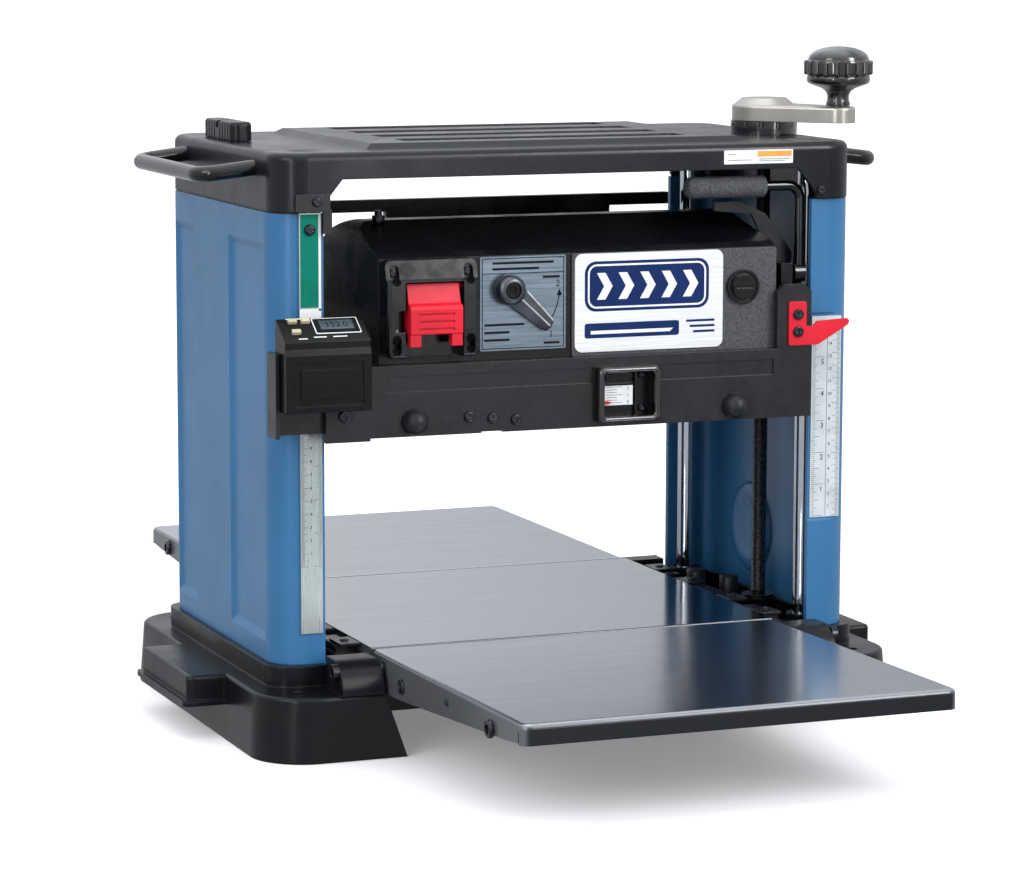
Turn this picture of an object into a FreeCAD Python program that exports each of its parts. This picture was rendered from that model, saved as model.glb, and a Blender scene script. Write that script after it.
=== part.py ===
# Benchtop thickness planer. Millimetres, +Z up, +X to the right and -Y towards the operator.
# The origin is on the bench, at the centre of the four bench-bolt holes.
import FreeCAD, Part
import math
import os

V = FreeCAD.Vector
X_AXIS, Y_AXIS, Z_AXIS = V(1, 0, 0), V(0, 1, 0), V(0, 0, 1)

# ---- driving dimensions ----
TABLE_TOP = 76.0        # bench to table surface
TABLE_X = 168.0         # half width of the tables
TABLE_Y = 147.0         # half length of the main table
CAPACITY = 152.0        # table to the knives' circle with the head fully raised
POST_X, POST_Y, POST_R = 210.0, 113.0, 7.5
SCREW_X, SCREW_Y, SCREW_R = 215.0, -22.0, 6.25
JOURNAL_R = 5.0         # the lead screws' plain ends
RUN = 0.08              # radial clearance of a running fit
COLUMN_X, COLUMN_Y, COLUMN_IN = 241.0, 138.0, 202.0
COLUMN_LOW, COLUMN_TOP = 65.0, 406.0
COVER_LOW, COVER_TOP, COVER_Y, COVER_X = 407.0, 451.0, 142.0, 240.0
PLATE_LOW, PLATE_TOP = 434.0, 441.0
FOOT_TOP, FOOT_IN, FOOT_OUT, FOOT_Y = 49.0, 171.0, 262.0, 186.0
FOOT_FLARE = 16.5       # how far the inner wall spreads inwards at the floor
WING_LOW, WING_TOP = 40.0, 52.0
EXT_GAP, EXT_LONG, EXT_THICK = 2.0, 305.0, 6.0
EXT_TILT = 0.8          # the infeed extension rises a little towards its outer end
PIVOT_Y, PIVOT_Z, PIVOT_R = 174.0, 65.0, 4.0
CHAIN_Z = 16.0
APRON_Y, APRON_BACK, APRON_LOW, APRON_TOP = -160.0, -154.0, 238.0, 292.0
HOUSE_Y, HOUSE_LOW, HOUSE_EDGE, HOUSE_TOP = -150.0, 292.0, 371.0, 393.0
HOUSE_L, HOUSE_R = -163.0, 165.0
CUTTER_Y, CUTTER_R = -5.0, 25.0
CUTTER_Z = TABLE_TOP + CAPACITY + CUTTER_R
ROLLER_R, ROLLER_Z = 20.0, 247.5
INFEED_Y, OUTFEED_Y = -75.0, 65.0
MOTOR_Y, MOTOR_Z = -72.0, 332.0
CHEEK_IN, CHEEK_OUT = 183.0, 195.0
CRANK_LONG, CRANK_TURN = 70.0, -58.0
COLLAR_R, COLLAR_IN = 31.75, 28.5   # dust collar for a 2 1/2 inch hose


# ---- shape helpers ----
def block(x0, x1, y0, y1, z0, z1):
    return Part.makeBox(x1 - x0, y1 - y0, z1 - z0, V(x0, y0, z0))


def rod(radius, start, end):
    a, b = V(*start), V(*end)
    return Part.makeCylinder(radius, (b - a).Length, a, b - a)


def tube(outer, inner, start, end):
    return rod(outer, start, end).cut(rod(inner, start, end))


def prism(points, axis, low, high):
    """A polygon extruded along one axis. Points are (y, z) for X, (x, z) for Y and (x, y) for Z."""
    places = {"x": lambda a, b: V(low, a, b), "y": lambda a, b: V(a, low, b), "z": lambda a, b: V(a, b, low)}
    place = places[axis]
    along = {"x": X_AXIS, "y": Y_AXIS, "z": Z_AXIS}[axis]
    outline = [place(a, b) for a, b in points]
    face = Part.Face(Part.makePolygon(outline + outline[:1]))
    return face.extrude(along * (high - low))


def rounded(shape, radius, axis, keep=lambda p: True):
    """Fillets the straight edges that run along an axis and whose middle passes keep."""
    edges = []
    for edge in shape.Edges:
        if not isinstance(edge.Curve, Part.Line) or edge.Length < 1e-3:
            continue
        along = (edge.Vertexes[1].Point - edge.Vertexes[0].Point).normalize()
        if abs(abs(along.dot(axis)) - 1) < 1e-6 and keep(edge.CenterOfMass):
            edges.append(edge)
    return shape.makeFillet(radius, edges)


def top_rounded(shape, radius, height):
    """Fillets every edge that lies in the plane z = height."""
    boxes = [(e, e.BoundBox) for e in shape.Edges]
    edges = [e for e, b in boxes if abs(b.ZMin - height) < 1e-4 and abs(b.ZMax - height) < 1e-4]
    return shape.makeFillet(radius, edges)


def sloped_pad(x0, x1, y0, y1, z0, z1, slope):
    """A raised pad whose sides lean in by slope over its height."""
    low = Part.makePolygon([V(x0, y0, z0), V(x1, y0, z0), V(x1, y1, z0), V(x0, y1, z0), V(x0, y0, z0)])
    x0, x1, y0, y1 = x0 + slope, x1 - slope, y0 + slope, y1 - slope
    high = Part.makePolygon([V(x0, y0, z1), V(x1, y0, z1), V(x1, y1, z1), V(x0, y1, z1), V(x0, y0, z1)])
    return Part.makeLoft([low, high], True, True)


def side_recess(x0, x1, y0, y1, z0, z1, slope):
    """A cutter for a shallow panel in a side wall: wide at x0, narrower by slope at x1."""
    wide = Part.makePolygon([V(x0, y0, z0), V(x0, y1, z0), V(x0, y1, z1), V(x0, y0, z1), V(x0, y0, z0)])
    y0, y1, z0, z1 = y0 + slope, y1 - slope, z0 + slope, z1 - slope
    deep = Part.makePolygon([V(x1, y0, z0), V(x1, y1, z0), V(x1, y1, z1), V(x1, y0, z1), V(x1, y0, z0)])
    return Part.makeLoft([wide, deep], True, True)


def bent_rod(points, radius, bend):
    """A round bar along straight runs joined by tangent arcs of the bend radius."""
    path = [V(*p) for p in points]
    edges, start = [], path[0]
    for before, corner, after in zip(path, path[1:], path[2:]):
        back, ahead = (before - corner).normalize(), (after - corner).normalize()
        half = back.getAngle(ahead) / 2
        setback = bend / math.tan(half)
        enter, leave = corner + back * setback, corner + ahead * setback
        middle = corner + (back + ahead).normalize() * (bend / math.sin(half) - bend)
        edges += [Part.LineSegment(start, enter).toShape(), Part.Arc(enter, middle, leave).toShape()]
        start = leave
    edges.append(Part.LineSegment(start, path[-1]).toShape())
    ring = Part.Wire(Part.makeCircle(radius, path[0], path[1] - path[0]))
    return Part.Wire(edges).makePipeShell([ring], True, False)


def screw_head(place, along, head_r, head_h, shank_r, shank_l):
    """A pan-head screw whose head stands out along a direction, with a cross recess."""
    seat, out = V(*place), V(*along)
    head = Part.makeCylinder(head_r, head_h, seat, out)
    circles = [e for e in head.Edges if isinstance(e.Curve, Part.Circle)]
    rim = [e for e in circles if (e.CenterOfMass - seat).dot(out) > head_h / 2]
    head = head.makeFillet(head_h * 0.45, rim)
    shank = Part.makeCylinder(shank_r, shank_l, seat, out * -1)
    side = Z_AXIS if abs(out.z) < 0.5 else X_AXIS
    cross = out.cross(side)
    top = seat + out * head_h
    for u, v in ((side, cross), (cross, side)):
        corner = top - u * (head_r * 0.55) - v * (head_r * 0.12)
        slot = Part.makePolygon([corner, corner + u * (head_r * 1.1), corner + u * (head_r * 1.1) + v * (head_r * 0.24),
                                 corner + v * (head_r * 0.24), corner])
        head = head.cut(Part.Face(slot).extrude(out * (-head_h * 0.5)))
    return head.fuse(shank)


def mirrored_x(shape):
    return shape.mirror(V(0, 0, 0), X_AXIS)


def mirrored_y(shape):
    return shape.mirror(V(0, 0, 0), Y_AXIS)


def save(name, *shapes):
    """Writes one node: a single piece, or identical or matching pieces as a group of solids."""
    pieces = [shape.removeSplitter() for shape in shapes]
    whole = pieces[0] if len(pieces) == 1 else Part.makeCompound(pieces)
    whole.exportStep(f"parts/{name}.step")


POSTS = [(x, y) for x in (-POST_X, POST_X) for y in (-POST_Y, POST_Y)]


def at_posts(make):
    """One piece per guide post, each from make(x, y)."""
    return [make(x, y) for x, y in POSTS]


# ---- base ----
def base_casting():
    bed = block(-172, 172, -146, 146, 26, 62).cut(block(-162, 162, -136, 136, 26, 55))
    bed = bed.fuse(block(-162, 162, -6, 6, 34, 55)).fuse(block(-6, 6, -136, 136, 34, 55))
    for side in (-1, 1):
        x0, x1 = sorted((side * 165, side * 232))
        bed = bed.fuse(block(x0, x1, -129, 129, WING_LOW, WING_TOP))
        bed = bed.fuse(rod(15, (side * SCREW_X, SCREW_Y, 28), (side * SCREW_X, SCREW_Y, 70)))
    for x, y in POSTS:
        bed = bed.fuse(rod(12, (x, y, WING_LOW), (x, y, 72)))
        bed = bed.cut(rod(POST_R + 0.02, (x, y, 41), (x, y, 76)))
    for side in (-1, 1):
        bed = bed.cut(rod(11.02, (side * SCREW_X, SCREW_Y, 27), (side * SCREW_X, SCREW_Y, 71)))
    return bed


def foot_shell(shrink, low, high):
    """The foot's outline in plan, drawn in by shrink, with its draft between two heights."""
    lean = 3.0
    rings = []
    for z, grow in ((low, lean * (1 - low / FOOT_TOP)), (high, lean * (1 - high / FOOT_TOP))):
        x0 = FOOT_IN - FOOT_FLARE * (1 - z / FOOT_TOP) + shrink
        x1 = FOOT_OUT + grow - shrink
        y = FOOT_Y + grow - shrink
        r = 42 - shrink
        k = r * (1 - math.sqrt(0.5))
        points = [V(x0, -y, z), V(x1 - r, -y, z), V(x1 - k, -y + k, z), V(x1, -y + r, z),
                  V(x1, y - r, z), V(x1 - k, y - k, z), V(x1 - r, y, z), V(x0, y, z)]
        edges = [Part.LineSegment(points[i], points[(i + 1) % 8]) for i in (0, 3, 6, 7)]
        edges.insert(1, Part.Arc(*points[1:4]))
        edges.insert(3, Part.Arc(*points[4:7]))
        rings.append(Part.Wire([e.toShape() for e in edges]))
    return Part.makeLoft(rings, True, True)


def hinge_lug(direction):
    """The quarter-round lug that carries an extension table's pivot bolt."""
    front = direction * 164
    arc = Part.Arc(V(172, front, 73), V(172, front + direction * 24 * math.sqrt(0.5), 49 + 24 * math.sqrt(0.5)),
                   V(172, front + direction * 24, 49))
    edges = [Part.LineSegment(V(172, direction * 148, 49), V(172, direction * 148, 73)).toShape(),
             Part.LineSegment(V(172, direction * 148, 73), V(172, front, 73)).toShape(), arc.toShape(),
             Part.LineSegment(V(172, front + direction * 24, 49), V(172, direction * 148, 49)).toShape()]
    lug = Part.Face(Part.Wire(edges)).extrude(V(33, 0, 0))
    return lug.fuse(block(173, 205, *sorted((direction * 148, direction * 185)), 44, 49))


def foot():
    """The right-hand foot, open underneath, with its rim, lifting ledge, hinge lugs and bench-bolt bosses."""
    body = top_rounded(foot_shell(0, 0, FOOT_TOP), 3, FOOT_TOP)
    ledge = rounded(block(256, 292, -75, 52, 29, FOOT_TOP), 5, Z_AXIS, lambda p: p.x > 280)
    ledge = top_rounded(ledge, 3, FOOT_TOP)
    lip = rounded(block(256, 296, -79, 56, 26, 30), 6, Z_AXIS, lambda p: p.x > 280)
    body = body.fuse(ledge).fuse(lip)
    rim = rounded(block(196, 246, -143, 143, 45, 65), 20, Z_AXIS, lambda p: p.x > 240)
    body = body.fuse(rim).fuse(hinge_lug(-1)).fuse(hinge_lug(1))
    body = body.cut(foot_shell(5, -1, FOOT_TOP - 5)).cut(block(262, 287, -70, 47, 25, 45))
    for y in (-108, 108):
        body = body.fuse(block(176, 259, y - 5, y + 5, 4, WING_LOW))
    for y in (-160, 160):
        body = body.fuse(rod(10, (232, y, 0), (232, y, 46)))
        body = body.cut(rod(4.5, (232, y, -1), (232, y, 60)))
    body = body.cut(block(170, 234, -131, 131, WING_LOW, 70))
    body = body.cut(block(150, 180, -56, 12, 9, 23))
    body = body.cut(block(150, 172.3, -146.3, 146.3, 25.7, 70))
    for y0, y1 in ((-183, -147), (147, 183)):
        body = body.cut(block(150, 169, y0, y1, 34, 50))
    for direction in (-1, 1):
        pivot = (170, direction * PIVOT_Y, PIVOT_Z)
        body = body.cut(rod(PIVOT_R + 0.02, pivot, (210, direction * PIVOT_Y, PIVOT_Z)))
    return body


def main_table():
    plate = block(-TABLE_X, TABLE_X, -TABLE_Y, TABLE_Y, 62, TABLE_TOP)
    plate = rounded(plate, 1.5, X_AXIS, lambda p: p.z > 70)
    return plate.cut(block(-158, 158, -137, 137, 62, 69))


def table_rail():
    rail = block(169, 188, -140, 140, 62, 68)
    for y in (-98, -4, 90):
        rail = rail.fuse(rounded(block(171, 187, y - 20, y + 20, 68, 74), 2.5, Y_AXIS, lambda p: p.z > 70))
        rail = rail.fuse(block(177, 187, y - 8, y + 8, WING_TOP, 62))
    return rail


def guide_post(x, y):
    post = rod(POST_R, (x, y, 41), (x, y, PLATE_LOW))
    return post.cut(rod(4.05, (x, y, 415), (x, y, 440)))


def column_cover():
    """The right-hand column cover: a channel, open towards the tables."""
    outside = block(COLUMN_IN, COLUMN_X, -COLUMN_Y, COLUMN_Y, COLUMN_LOW, COLUMN_TOP)
    outside = rounded(outside, 24, Z_AXIS, lambda p: p.x > 230)
    inside = block(COLUMN_IN - 1, COLUMN_X - 5, -COLUMN_Y + 5, COLUMN_Y - 5, COLUMN_LOW - 1, COLUMN_TOP + 1)
    shell = outside.cut(rounded(inside, 19, Z_AXIS, lambda p: p.x > 230))
    for y0, y1 in ((-112, -25), (66, 118)):
        shell = shell.cut(side_recess(COLUMN_X + 0.1, COLUMN_X - 2.6, y0, y1, 80, 383, 6))
    return shell


def right_column_cover():
    """The right cover's front has a shallow flat for the ruler."""
    return column_cover().cut(block(201, 231, -140, -136.6, 151, 316))


def left_column_cover():
    return mirrored_x(column_cover())


def extension_pivot_bolt(side, direction):
    y = direction * PIVOT_Y
    bolt = rod(PIVOT_R, (side * 161, y, PIVOT_Z), (side * 205, y, PIVOT_Z))
    bolt = bolt.fuse(rod(6, (side * 168.2, y, PIVOT_Z), (side * 171.9, y, PIVOT_Z)))
    head = rod(6.5, (side * 205, y, PIVOT_Z), (side * 209.5, y, PIVOT_Z))
    return bolt.fuse(head).cut(rod(3, (side * 207, y, PIVOT_Z), (side * 210, y, PIVOT_Z)))


def sprocket(x):
    """A sixteen-tooth sprocket with its hub, on a lead screw's lower end."""
    teeth = 16
    points = []
    for i in range(teeth):
        for part, radius in ((0.0, 21.5), (0.28, 21.5), (0.42, 25.5), (0.58, 25.5), (0.72, 21.5)):
            a = 2 * math.pi * (i + part) / teeth
            points.append((x + radius * math.cos(a), SCREW_Y + radius * math.sin(a)))
    wheel = prism(points, "z", CHAIN_Z - 2, CHAIN_Z + 2)
    return wheel.fuse(rod(12, (x, SCREW_Y, CHAIN_Z - 6), (x, SCREW_Y, CHAIN_Z + 7)))


def lead_screw(x, top):
    screw = rod(SCREW_R, (x, SCREW_Y, 72), (x, SCREW_Y, 433))
    screw = screw.fuse(rod(JOURNAL_R, (x, SCREW_Y, 8), (x, SCREW_Y, top)))
    return screw.fuse(sprocket(x))


def stadium(radius, z0, z1):
    ends = rod(radius, (-SCREW_X, SCREW_Y, z0), (-SCREW_X, SCREW_Y, z1))
    ends = ends.fuse(rod(radius, (SCREW_X, SCREW_Y, z0), (SCREW_X, SCREW_Y, z1)))
    return ends.fuse(block(-SCREW_X, SCREW_X, SCREW_Y - radius, SCREW_Y + radius, z0, z1))


def drive_chain():
    return stadium(30, CHAIN_Z - 3, CHAIN_Z + 3).cut(stadium(26.2, CHAIN_Z - 4, CHAIN_Z + 4))


def lower_bearing(x):
    bush = rod(11, (x, SCREW_Y, 28), (x, SCREW_Y, 70)).fuse(rod(13, (x, SCREW_Y, 70), (x, SCREW_Y, 71.5)))
    return bush.cut(rod(JOURNAL_R + RUN, (x, SCREW_Y, 27), (x, SCREW_Y, 80)))


def upper_bearing(x):
    bush = rod(11, (x, SCREW_Y, PLATE_LOW), (x, SCREW_Y, PLATE_TOP))
    bush = bush.fuse(rod(13, (x, SCREW_Y, PLATE_TOP), (x, SCREW_Y, PLATE_TOP + 3)))
    return bush.cut(rod(JOURNAL_R + RUN, (x, SCREW_Y, 430), (x, SCREW_Y, 450)))


# ---- head structure ----
KNOB_X, KNOB_Y = -217.0, 50.0


def top_plate():
    plate = rounded(block(-230, 230, -128, 128, PLATE_LOW, PLATE_TOP), 15, Z_AXIS)
    plate = plate.cut(rounded(block(-165, 165, -95, 95, 430, 445), 20, Z_AXIS))
    for x, y in POSTS:
        plate = plate.cut(rod(4.05, (x, y, 430), (x, y, 445)))
    for x in (-SCREW_X, SCREW_X):
        plate = plate.cut(rod(11.02, (x, SCREW_Y, 430), (x, SCREW_Y, 445)))
    return plate.cut(rod(4.3, (KNOB_X, KNOB_Y, 430), (KNOB_X, KNOB_Y, 445)))


COVER_SCREWS = [(208, -COVER_Y, -1), (208, COVER_Y, 1), (-208, COVER_Y, 1)]
COVER_SCREW_Z = 413.0


def top_cover():
    """The moulded top: a shell with raised panels, gussets at the columns and a clear span between them."""
    outside = rounded(block(-COVER_X, COVER_X, -COVER_Y, COVER_Y, COVER_LOW, COVER_TOP), 25, Z_AXIS)
    outside = top_rounded(outside, 6, COVER_TOP)
    inside = rounded(block(-COVER_X + 4, COVER_X - 4, -COVER_Y + 4, COVER_Y - 4, 400, 446.5), 21, Z_AXIS)
    cover = outside.cut(inside)
    span = [(-205, 400), (-205, 410), (-188, 431), (188, 431), (205, 410), (205, 400)]
    cover = cover.cut(prism(span, "y", -150, 150))
    cover = cover.fuse(sloped_pad(-160, 160, -112, 120, COVER_TOP - 1, COVER_TOP + 4, 8))
    for y0, y1 in ((-84, -58), (-30, -4), (24, 50), (78, 104)):
        cover = cover.cut(block(-118, 118, y0, y1, COVER_TOP + 2, COVER_TOP + 6))
    for x in (-206, 206):
        dish = Part.makeSphere(60, V(x, -112, COVER_TOP + 58))
        cover = cover.cut(dish)
    for x, y, side in COVER_SCREWS:
        cover = cover.cut(rod(1.65, (x, y + 5, COVER_SCREW_Z), (x, y - 5, COVER_SCREW_Z)))
    cover = cover.cut(rod(12, (SCREW_X, SCREW_Y, 440), (SCREW_X, SCREW_Y, 460)))
    return cover.cut(rod(4.3, (KNOB_X, KNOB_Y, 440), (KNOB_X, KNOB_Y, 460)))


def carry_handle(side):
    """A bar bent twice at right angles, whose outer run hangs a little lower than its ends."""
    inner, outer = side * (COVER_X - 2), side * 281
    points = [(inner, -89, 438), (outer, -87, 433), (outer, 86, 433), (inner, 88, 438)]
    keep = (COVER_X, 320) if side > 0 else (-320, -COVER_X)
    return bent_rod(points, 6, 14).common(block(*keep, -120, 120, 400, 460))


def crank_collar():
    collar = tube(27, 6.5, (SCREW_X, SCREW_Y, COVER_TOP), (SCREW_X, SCREW_Y, 461.5))
    for i in range(12):
        a = math.radians(30 * i)
        x, y = SCREW_X + 27 * math.cos(a), SCREW_Y + 27 * math.sin(a)
        collar = collar.cut(rod(2.2, (x, y, 457), (x, y, 463)))
    return collar


def crank_point(distance):
    a = math.radians(CRANK_TURN)
    return SCREW_X + distance * math.cos(a), SCREW_Y + distance * math.sin(a)


def crank_arm():
    """A tapered arm with a raised boss over the screw and a boss for the grip's spindle."""
    far_x, far_y = crank_point(CRANK_LONG)
    big, small, low, high = 26.0, 14.0, 462.0, 475.0
    lean = math.asin((big - small) / CRANK_LONG)
    turn = math.radians(CRANK_TURN)
    corners = []
    for (x, y), radius, side in (((SCREW_X, SCREW_Y), big, 1), ((far_x, far_y), small, 1),
                                 ((far_x, far_y), small, -1), ((SCREW_X, SCREW_Y), big, -1)):
        a = turn + side * (math.pi / 2 - lean)
        corners.append((x + radius * math.cos(a), y + radius * math.sin(a)))
    arm = prism(corners, "z", low, high)
    arm = arm.fuse(rod(big, (SCREW_X, SCREW_Y, low), (SCREW_X, SCREW_Y, high)))
    arm = arm.fuse(rod(small, (far_x, far_y, low), (far_x, far_y, high))).removeSplitter()
    arm = top_rounded(arm, 2.5, high)
    boss = Part.makeCone(24, 18, 5, V(SCREW_X, SCREW_Y, high), Z_AXIS)
    arm = arm.fuse(boss)
    arm = arm.cut(rod(JOURNAL_R + 0.02, (SCREW_X, SCREW_Y, 460), (SCREW_X, SCREW_Y, 477)))
    arm = arm.fuse(rod(5, (far_x, far_y, high), (far_x, far_y, 512)))
    return arm


def crank_knob():
    """The spinning grip: a flared neck under a ribbed head."""
    x, y = crank_point(CRANK_LONG)
    side = [(5 + RUN, 475.4), (9, 475.4), (8, 481), (10, 487), (17, 490), (25, 493), (26.5, 497),
            (26.5, 511), (24.5, 516), (18, 521), (0, 523), (0, 512.6), (5 + RUN, 512.6)]
    outline = [V(x + r, y, z) for r, z in side]
    knob = Part.Face(Part.makePolygon(outline + outline[:1])).revolve(V(x, y, 0), Z_AXIS, 360)
    for i in range(18):
        a = math.radians(20 * i)
        rib = rod(2.4, (x + 26.3 * math.cos(a), y + 26.3 * math.sin(a), 498),
                  (x + 26.3 * math.cos(a), y + 26.3 * math.sin(a), 510.5))
        knob = knob.fuse(rib)
    return knob


def depth_stop_knob():
    """A two-winged knob on a spindle through the top cover."""
    top = COVER_TOP + 15
    wings = block(KNOB_X - 9, KNOB_X + 9, KNOB_Y - 38, KNOB_Y + 38, COVER_TOP + 0.4, top)
    wings = rounded(wings, 7, Z_AXIS)
    wings = top_rounded(wings, 3, top)
    wings = wings.cut(block(KNOB_X - 10, KNOB_X + 10, KNOB_Y - 3, KNOB_Y + 3, top - 6, top + 1))
    for x in (KNOB_X - 9, KNOB_X + 9):
        for step in (-28, -21, -14, -7, 7, 14, 21, 28):
            wings = wings.cut(rod(1.3, (x, KNOB_Y + step, COVER_TOP), (x, KNOB_Y + step, top + 1)))
    knob = wings.fuse(rod(4, (KNOB_X, KNOB_Y, 426), (KNOB_X, KNOB_Y, COVER_TOP + 2)))
    return knob.fuse(rod(7, (KNOB_X, KNOB_Y, 426), (KNOB_X, KNOB_Y, 433)))


def left_scale_strip():
    return block(-221.5, -204.3, -COLUMN_Y - 1.5, -COLUMN_Y, 89, 406.5)


def right_ruler():
    return block(204, 229.5, -137.6, -136.6, 153, 313.5)


BRACKET_SCREW_X, BRACKET_SCREW_Z = -209.5, 415.0


def strip_bracket():
    bracket = rounded(block(-226, -199, -146, -142, 407.5, 421), 1.5, Y_AXIS)
    x, z = BRACKET_SCREW_X, BRACKET_SCREW_Z
    bracket = bracket.cut(rod(1.65, (x, -147, z), (x, -141, z)))
    return bracket.fuse(block(-203.5, -197, -144, -139.6, 391, 409))


def post_bolt(x, y):
    return rod(5.5, (x, y, PLATE_TOP), (x, y, PLATE_TOP + 5)).fuse(rod(4, (x, y, 418), (x, y, PLATE_TOP)))


def frame_fasteners():
    """The screws of the top cover and the strip's bracket, the post bolts and the pivot bolts."""
    screws = []
    for x, y, side in COVER_SCREWS:
        screws.append(screw_head((x, y, COVER_SCREW_Z), (0, side, 0), 3.6, 2.4, 1.6, 3.5))
    screws.append(screw_head((BRACKET_SCREW_X, -146, BRACKET_SCREW_Z), (0, -1, 0), 3.6, 2.4, 1.6, 3.5))
    pivots = [extension_pivot_bolt(side, direction) for side in (-1, 1) for direction in (-1, 1)]
    return screws + at_posts(post_bolt) + pivots


# ---- extension tables ----
def extension(tilt):
    """The infeed extension, hinged on its two side plates, with a rolled outer edge."""
    inner, outer = -TABLE_Y - EXT_GAP, -TABLE_Y - EXT_GAP - EXT_LONG
    top = block(-TABLE_X, TABLE_X, outer, inner, TABLE_TOP - EXT_THICK, TABLE_TOP)
    top = top.fuse(block(-TABLE_X, TABLE_X, outer, outer + 7, TABLE_TOP - 15, TABLE_TOP)).removeSplitter()
    top = rounded(top, 7.5, Z_AXIS, lambda p: p.y < outer + 3)
    top = rounded(top, 4, X_AXIS, lambda p: p.z > TABLE_TOP - 1 and p.y < outer + 3)
    top = rounded(top, 2, X_AXIS, lambda p: p.z > TABLE_TOP - 1 and p.y > inner - 3)
    side = [(inner, 74), (outer + 8, 74), (outer + 8, 62), (-424, 60), (-201, 47), (-160, 47), (inner, 55)]
    for x0 in (-TABLE_X, TABLE_X - 4.5):
        top = top.fuse(prism(side, "x", x0, x0 + 4.5))
    for y in (-190, -310, -400):
        top = top.fuse(block(-164, 164, y - 3, y + 3, 61, 72))
    top = top.cut(rod(PIVOT_R + 0.08, (-170, -PIVOT_Y, PIVOT_Z), (170, -PIVOT_Y, PIVOT_Z)))
    top.rotate(V(0, -PIVOT_Y, PIVOT_Z), X_AXIS, -tilt)
    return top


# ---- cutterhead carriage ----
def head_casting():
    """Two cheeks and two cross beams, with bosses for the posts and the lead screws."""
    body = block(-CHEEK_IN, CHEEK_IN, -148, -118, 250, 286)
    body = body.fuse(block(-CHEEK_IN, CHEEK_IN, 98, 128, 250, 286))
    for side in (-1, 1):
        x0, x1 = sorted((side * CHEEK_IN, side * CHEEK_OUT))
        cheek = block(x0, x1, -148, 128, 240, 322)
        cheek = rounded(cheek, 12, X_AXIS, lambda p: p.z > 300)
        body = body.fuse(cheek)
        x0, x1 = sorted((side * 190, side * SCREW_X))
        body = body.fuse(block(x0, x1, SCREW_Y - 8, SCREW_Y + 8, 244, 300))
        body = body.fuse(rod(16, (side * SCREW_X, SCREW_Y, 244), (side * SCREW_X, SCREW_Y, 300)))
        body = body.cut(rod(12.02, (side * SCREW_X, SCREW_Y, 240), (side * SCREW_X, SCREW_Y, 301)))
    for x, y in POSTS:
        x0, x1 = sorted((math.copysign(190, x), x))
        body = body.fuse(block(x0, x1, y - 7, y + 7, 244, 318))
        body = body.fuse(rod(13.5, (x, y, 244), (x, y, 338)))
        body = body.cut(rod(10.02, (x, y, 240), (x, y, 340)))
    body = body.fuse(block(178, 188, -134, -121, 300, 356))
    body = body.fuse(rod(3, (186, LEVER_Y, LEVER_Z), (LEVER_X + 3.3, LEVER_Y, LEVER_Z)))
    for y, z, r in ((CUTTER_Y, CUTTER_Z, 10), (INFEED_Y, ROLLER_Z, 6), (OUTFEED_Y, ROLLER_Z, 6)):
        body = body.cut(rod(r + RUN, (-200, y, z), (200, y, z)))
    return body


def post_bushing(x, y):
    bush = rod(10, (x, y, 244), (x, y, 338)).fuse(rod(12, (x, y, 338), (x, y, 355)))
    return bush.cut(rod(POST_R + RUN, (x, y, 240), (x, y, 360)))


def lead_nut(x):
    nut = rod(12, (x, SCREW_Y, 244), (x, SCREW_Y, 300)).fuse(rod(15, (x, SCREW_Y, 300), (x, SCREW_Y, 305)))
    return nut.cut(rod(SCREW_R + RUN, (x, SCREW_Y, 240), (x, SCREW_Y, 310)))


APRON_HOLES = ((-193, 256, 3.2), (-94, 251, 2.2), (-75, 249, 2.2), (-56, 247, 2.2))


def front_apron():
    """The plate across the front of the head, with a tower for the height pointer at its right end."""
    outline = [(-208, 236), (-173, 236), (-173, 238), (-84, 238), (-84, 239), (-60, 239), (-60, 238),
               (192, APRON_LOW), (192, 336), (186, 342), (169, 342), (163, 336), (163, APRON_TOP), (-208, APRON_TOP)]
    apron = prism(outline, "y", APRON_Y, APRON_BACK)
    apron = apron.fuse(block(-180, 180, APRON_BACK, -148, 287, APRON_TOP))
    for x in (-150, 140):
        apron = apron.fuse(block(x, x + 10, APRON_BACK, -148, 252, 288))
    apron = apron.cut(block(-160, 8, APRON_Y - 1, APRON_Y + 1.5, 272, 284))
    apron = apron.cut(block(62, 160, APRON_Y - 1, APRON_Y + 1.5, 272, 284))
    apron = apron.cut(block(14, 56, APRON_Y - 1, APRON_BACK + 1, 246, 280))
    for x, z, r in APRON_HOLES:
        apron = apron.cut(rod(r + 0.05, (x, -162, z), (x, -152, z)))
    return apron


def house_profile(inset, low):
    top = HOUSE_TOP - inset
    points = [V(0, HOUSE_Y + inset, low), V(0, HOUSE_Y + inset, HOUSE_EDGE - inset * 0.4),
              V(0, HOUSE_Y + 6 + inset * 0.4, HOUSE_EDGE + 4 - inset), V(0, -62, top), V(0, -44, top)]
    curve_end = V(0, -10 - inset, 352)
    foot_end = V(0, -10 - inset, low)
    edges = [Part.LineSegment(a, b).toShape() for a, b in zip(points, points[1:])]
    edges.append(Part.Arc(points[-1], V(0, -20 - inset, 380 - inset), curve_end).toShape())
    edges.append(Part.LineSegment(curve_end, foot_end).toShape())
    edges.append(Part.LineSegment(foot_end, points[0]).toShape())
    return Part.Face(Part.Wire(edges))


HOUSE_ROUND = 24.0        # radius of the hood's upper left corner


def house_solid(inset, wall, low, corner):
    """The hood's profile run from end to end, with its upper left corner rounded."""
    face = house_profile(inset, low)
    face.translate(V(HOUSE_L + wall, 0, 0))
    body = face.extrude(V(HOUSE_R - HOUSE_L - 2 * wall, 0, 0))
    x, z = HOUSE_L + HOUSE_ROUND, HOUSE_TOP - HOUSE_ROUND
    outside = block(x - 40, x, -160, 10, z, z + 40).cut(rod(corner, (x, -161, z), (x, 11, z)))
    return body.cut(outside)


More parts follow.
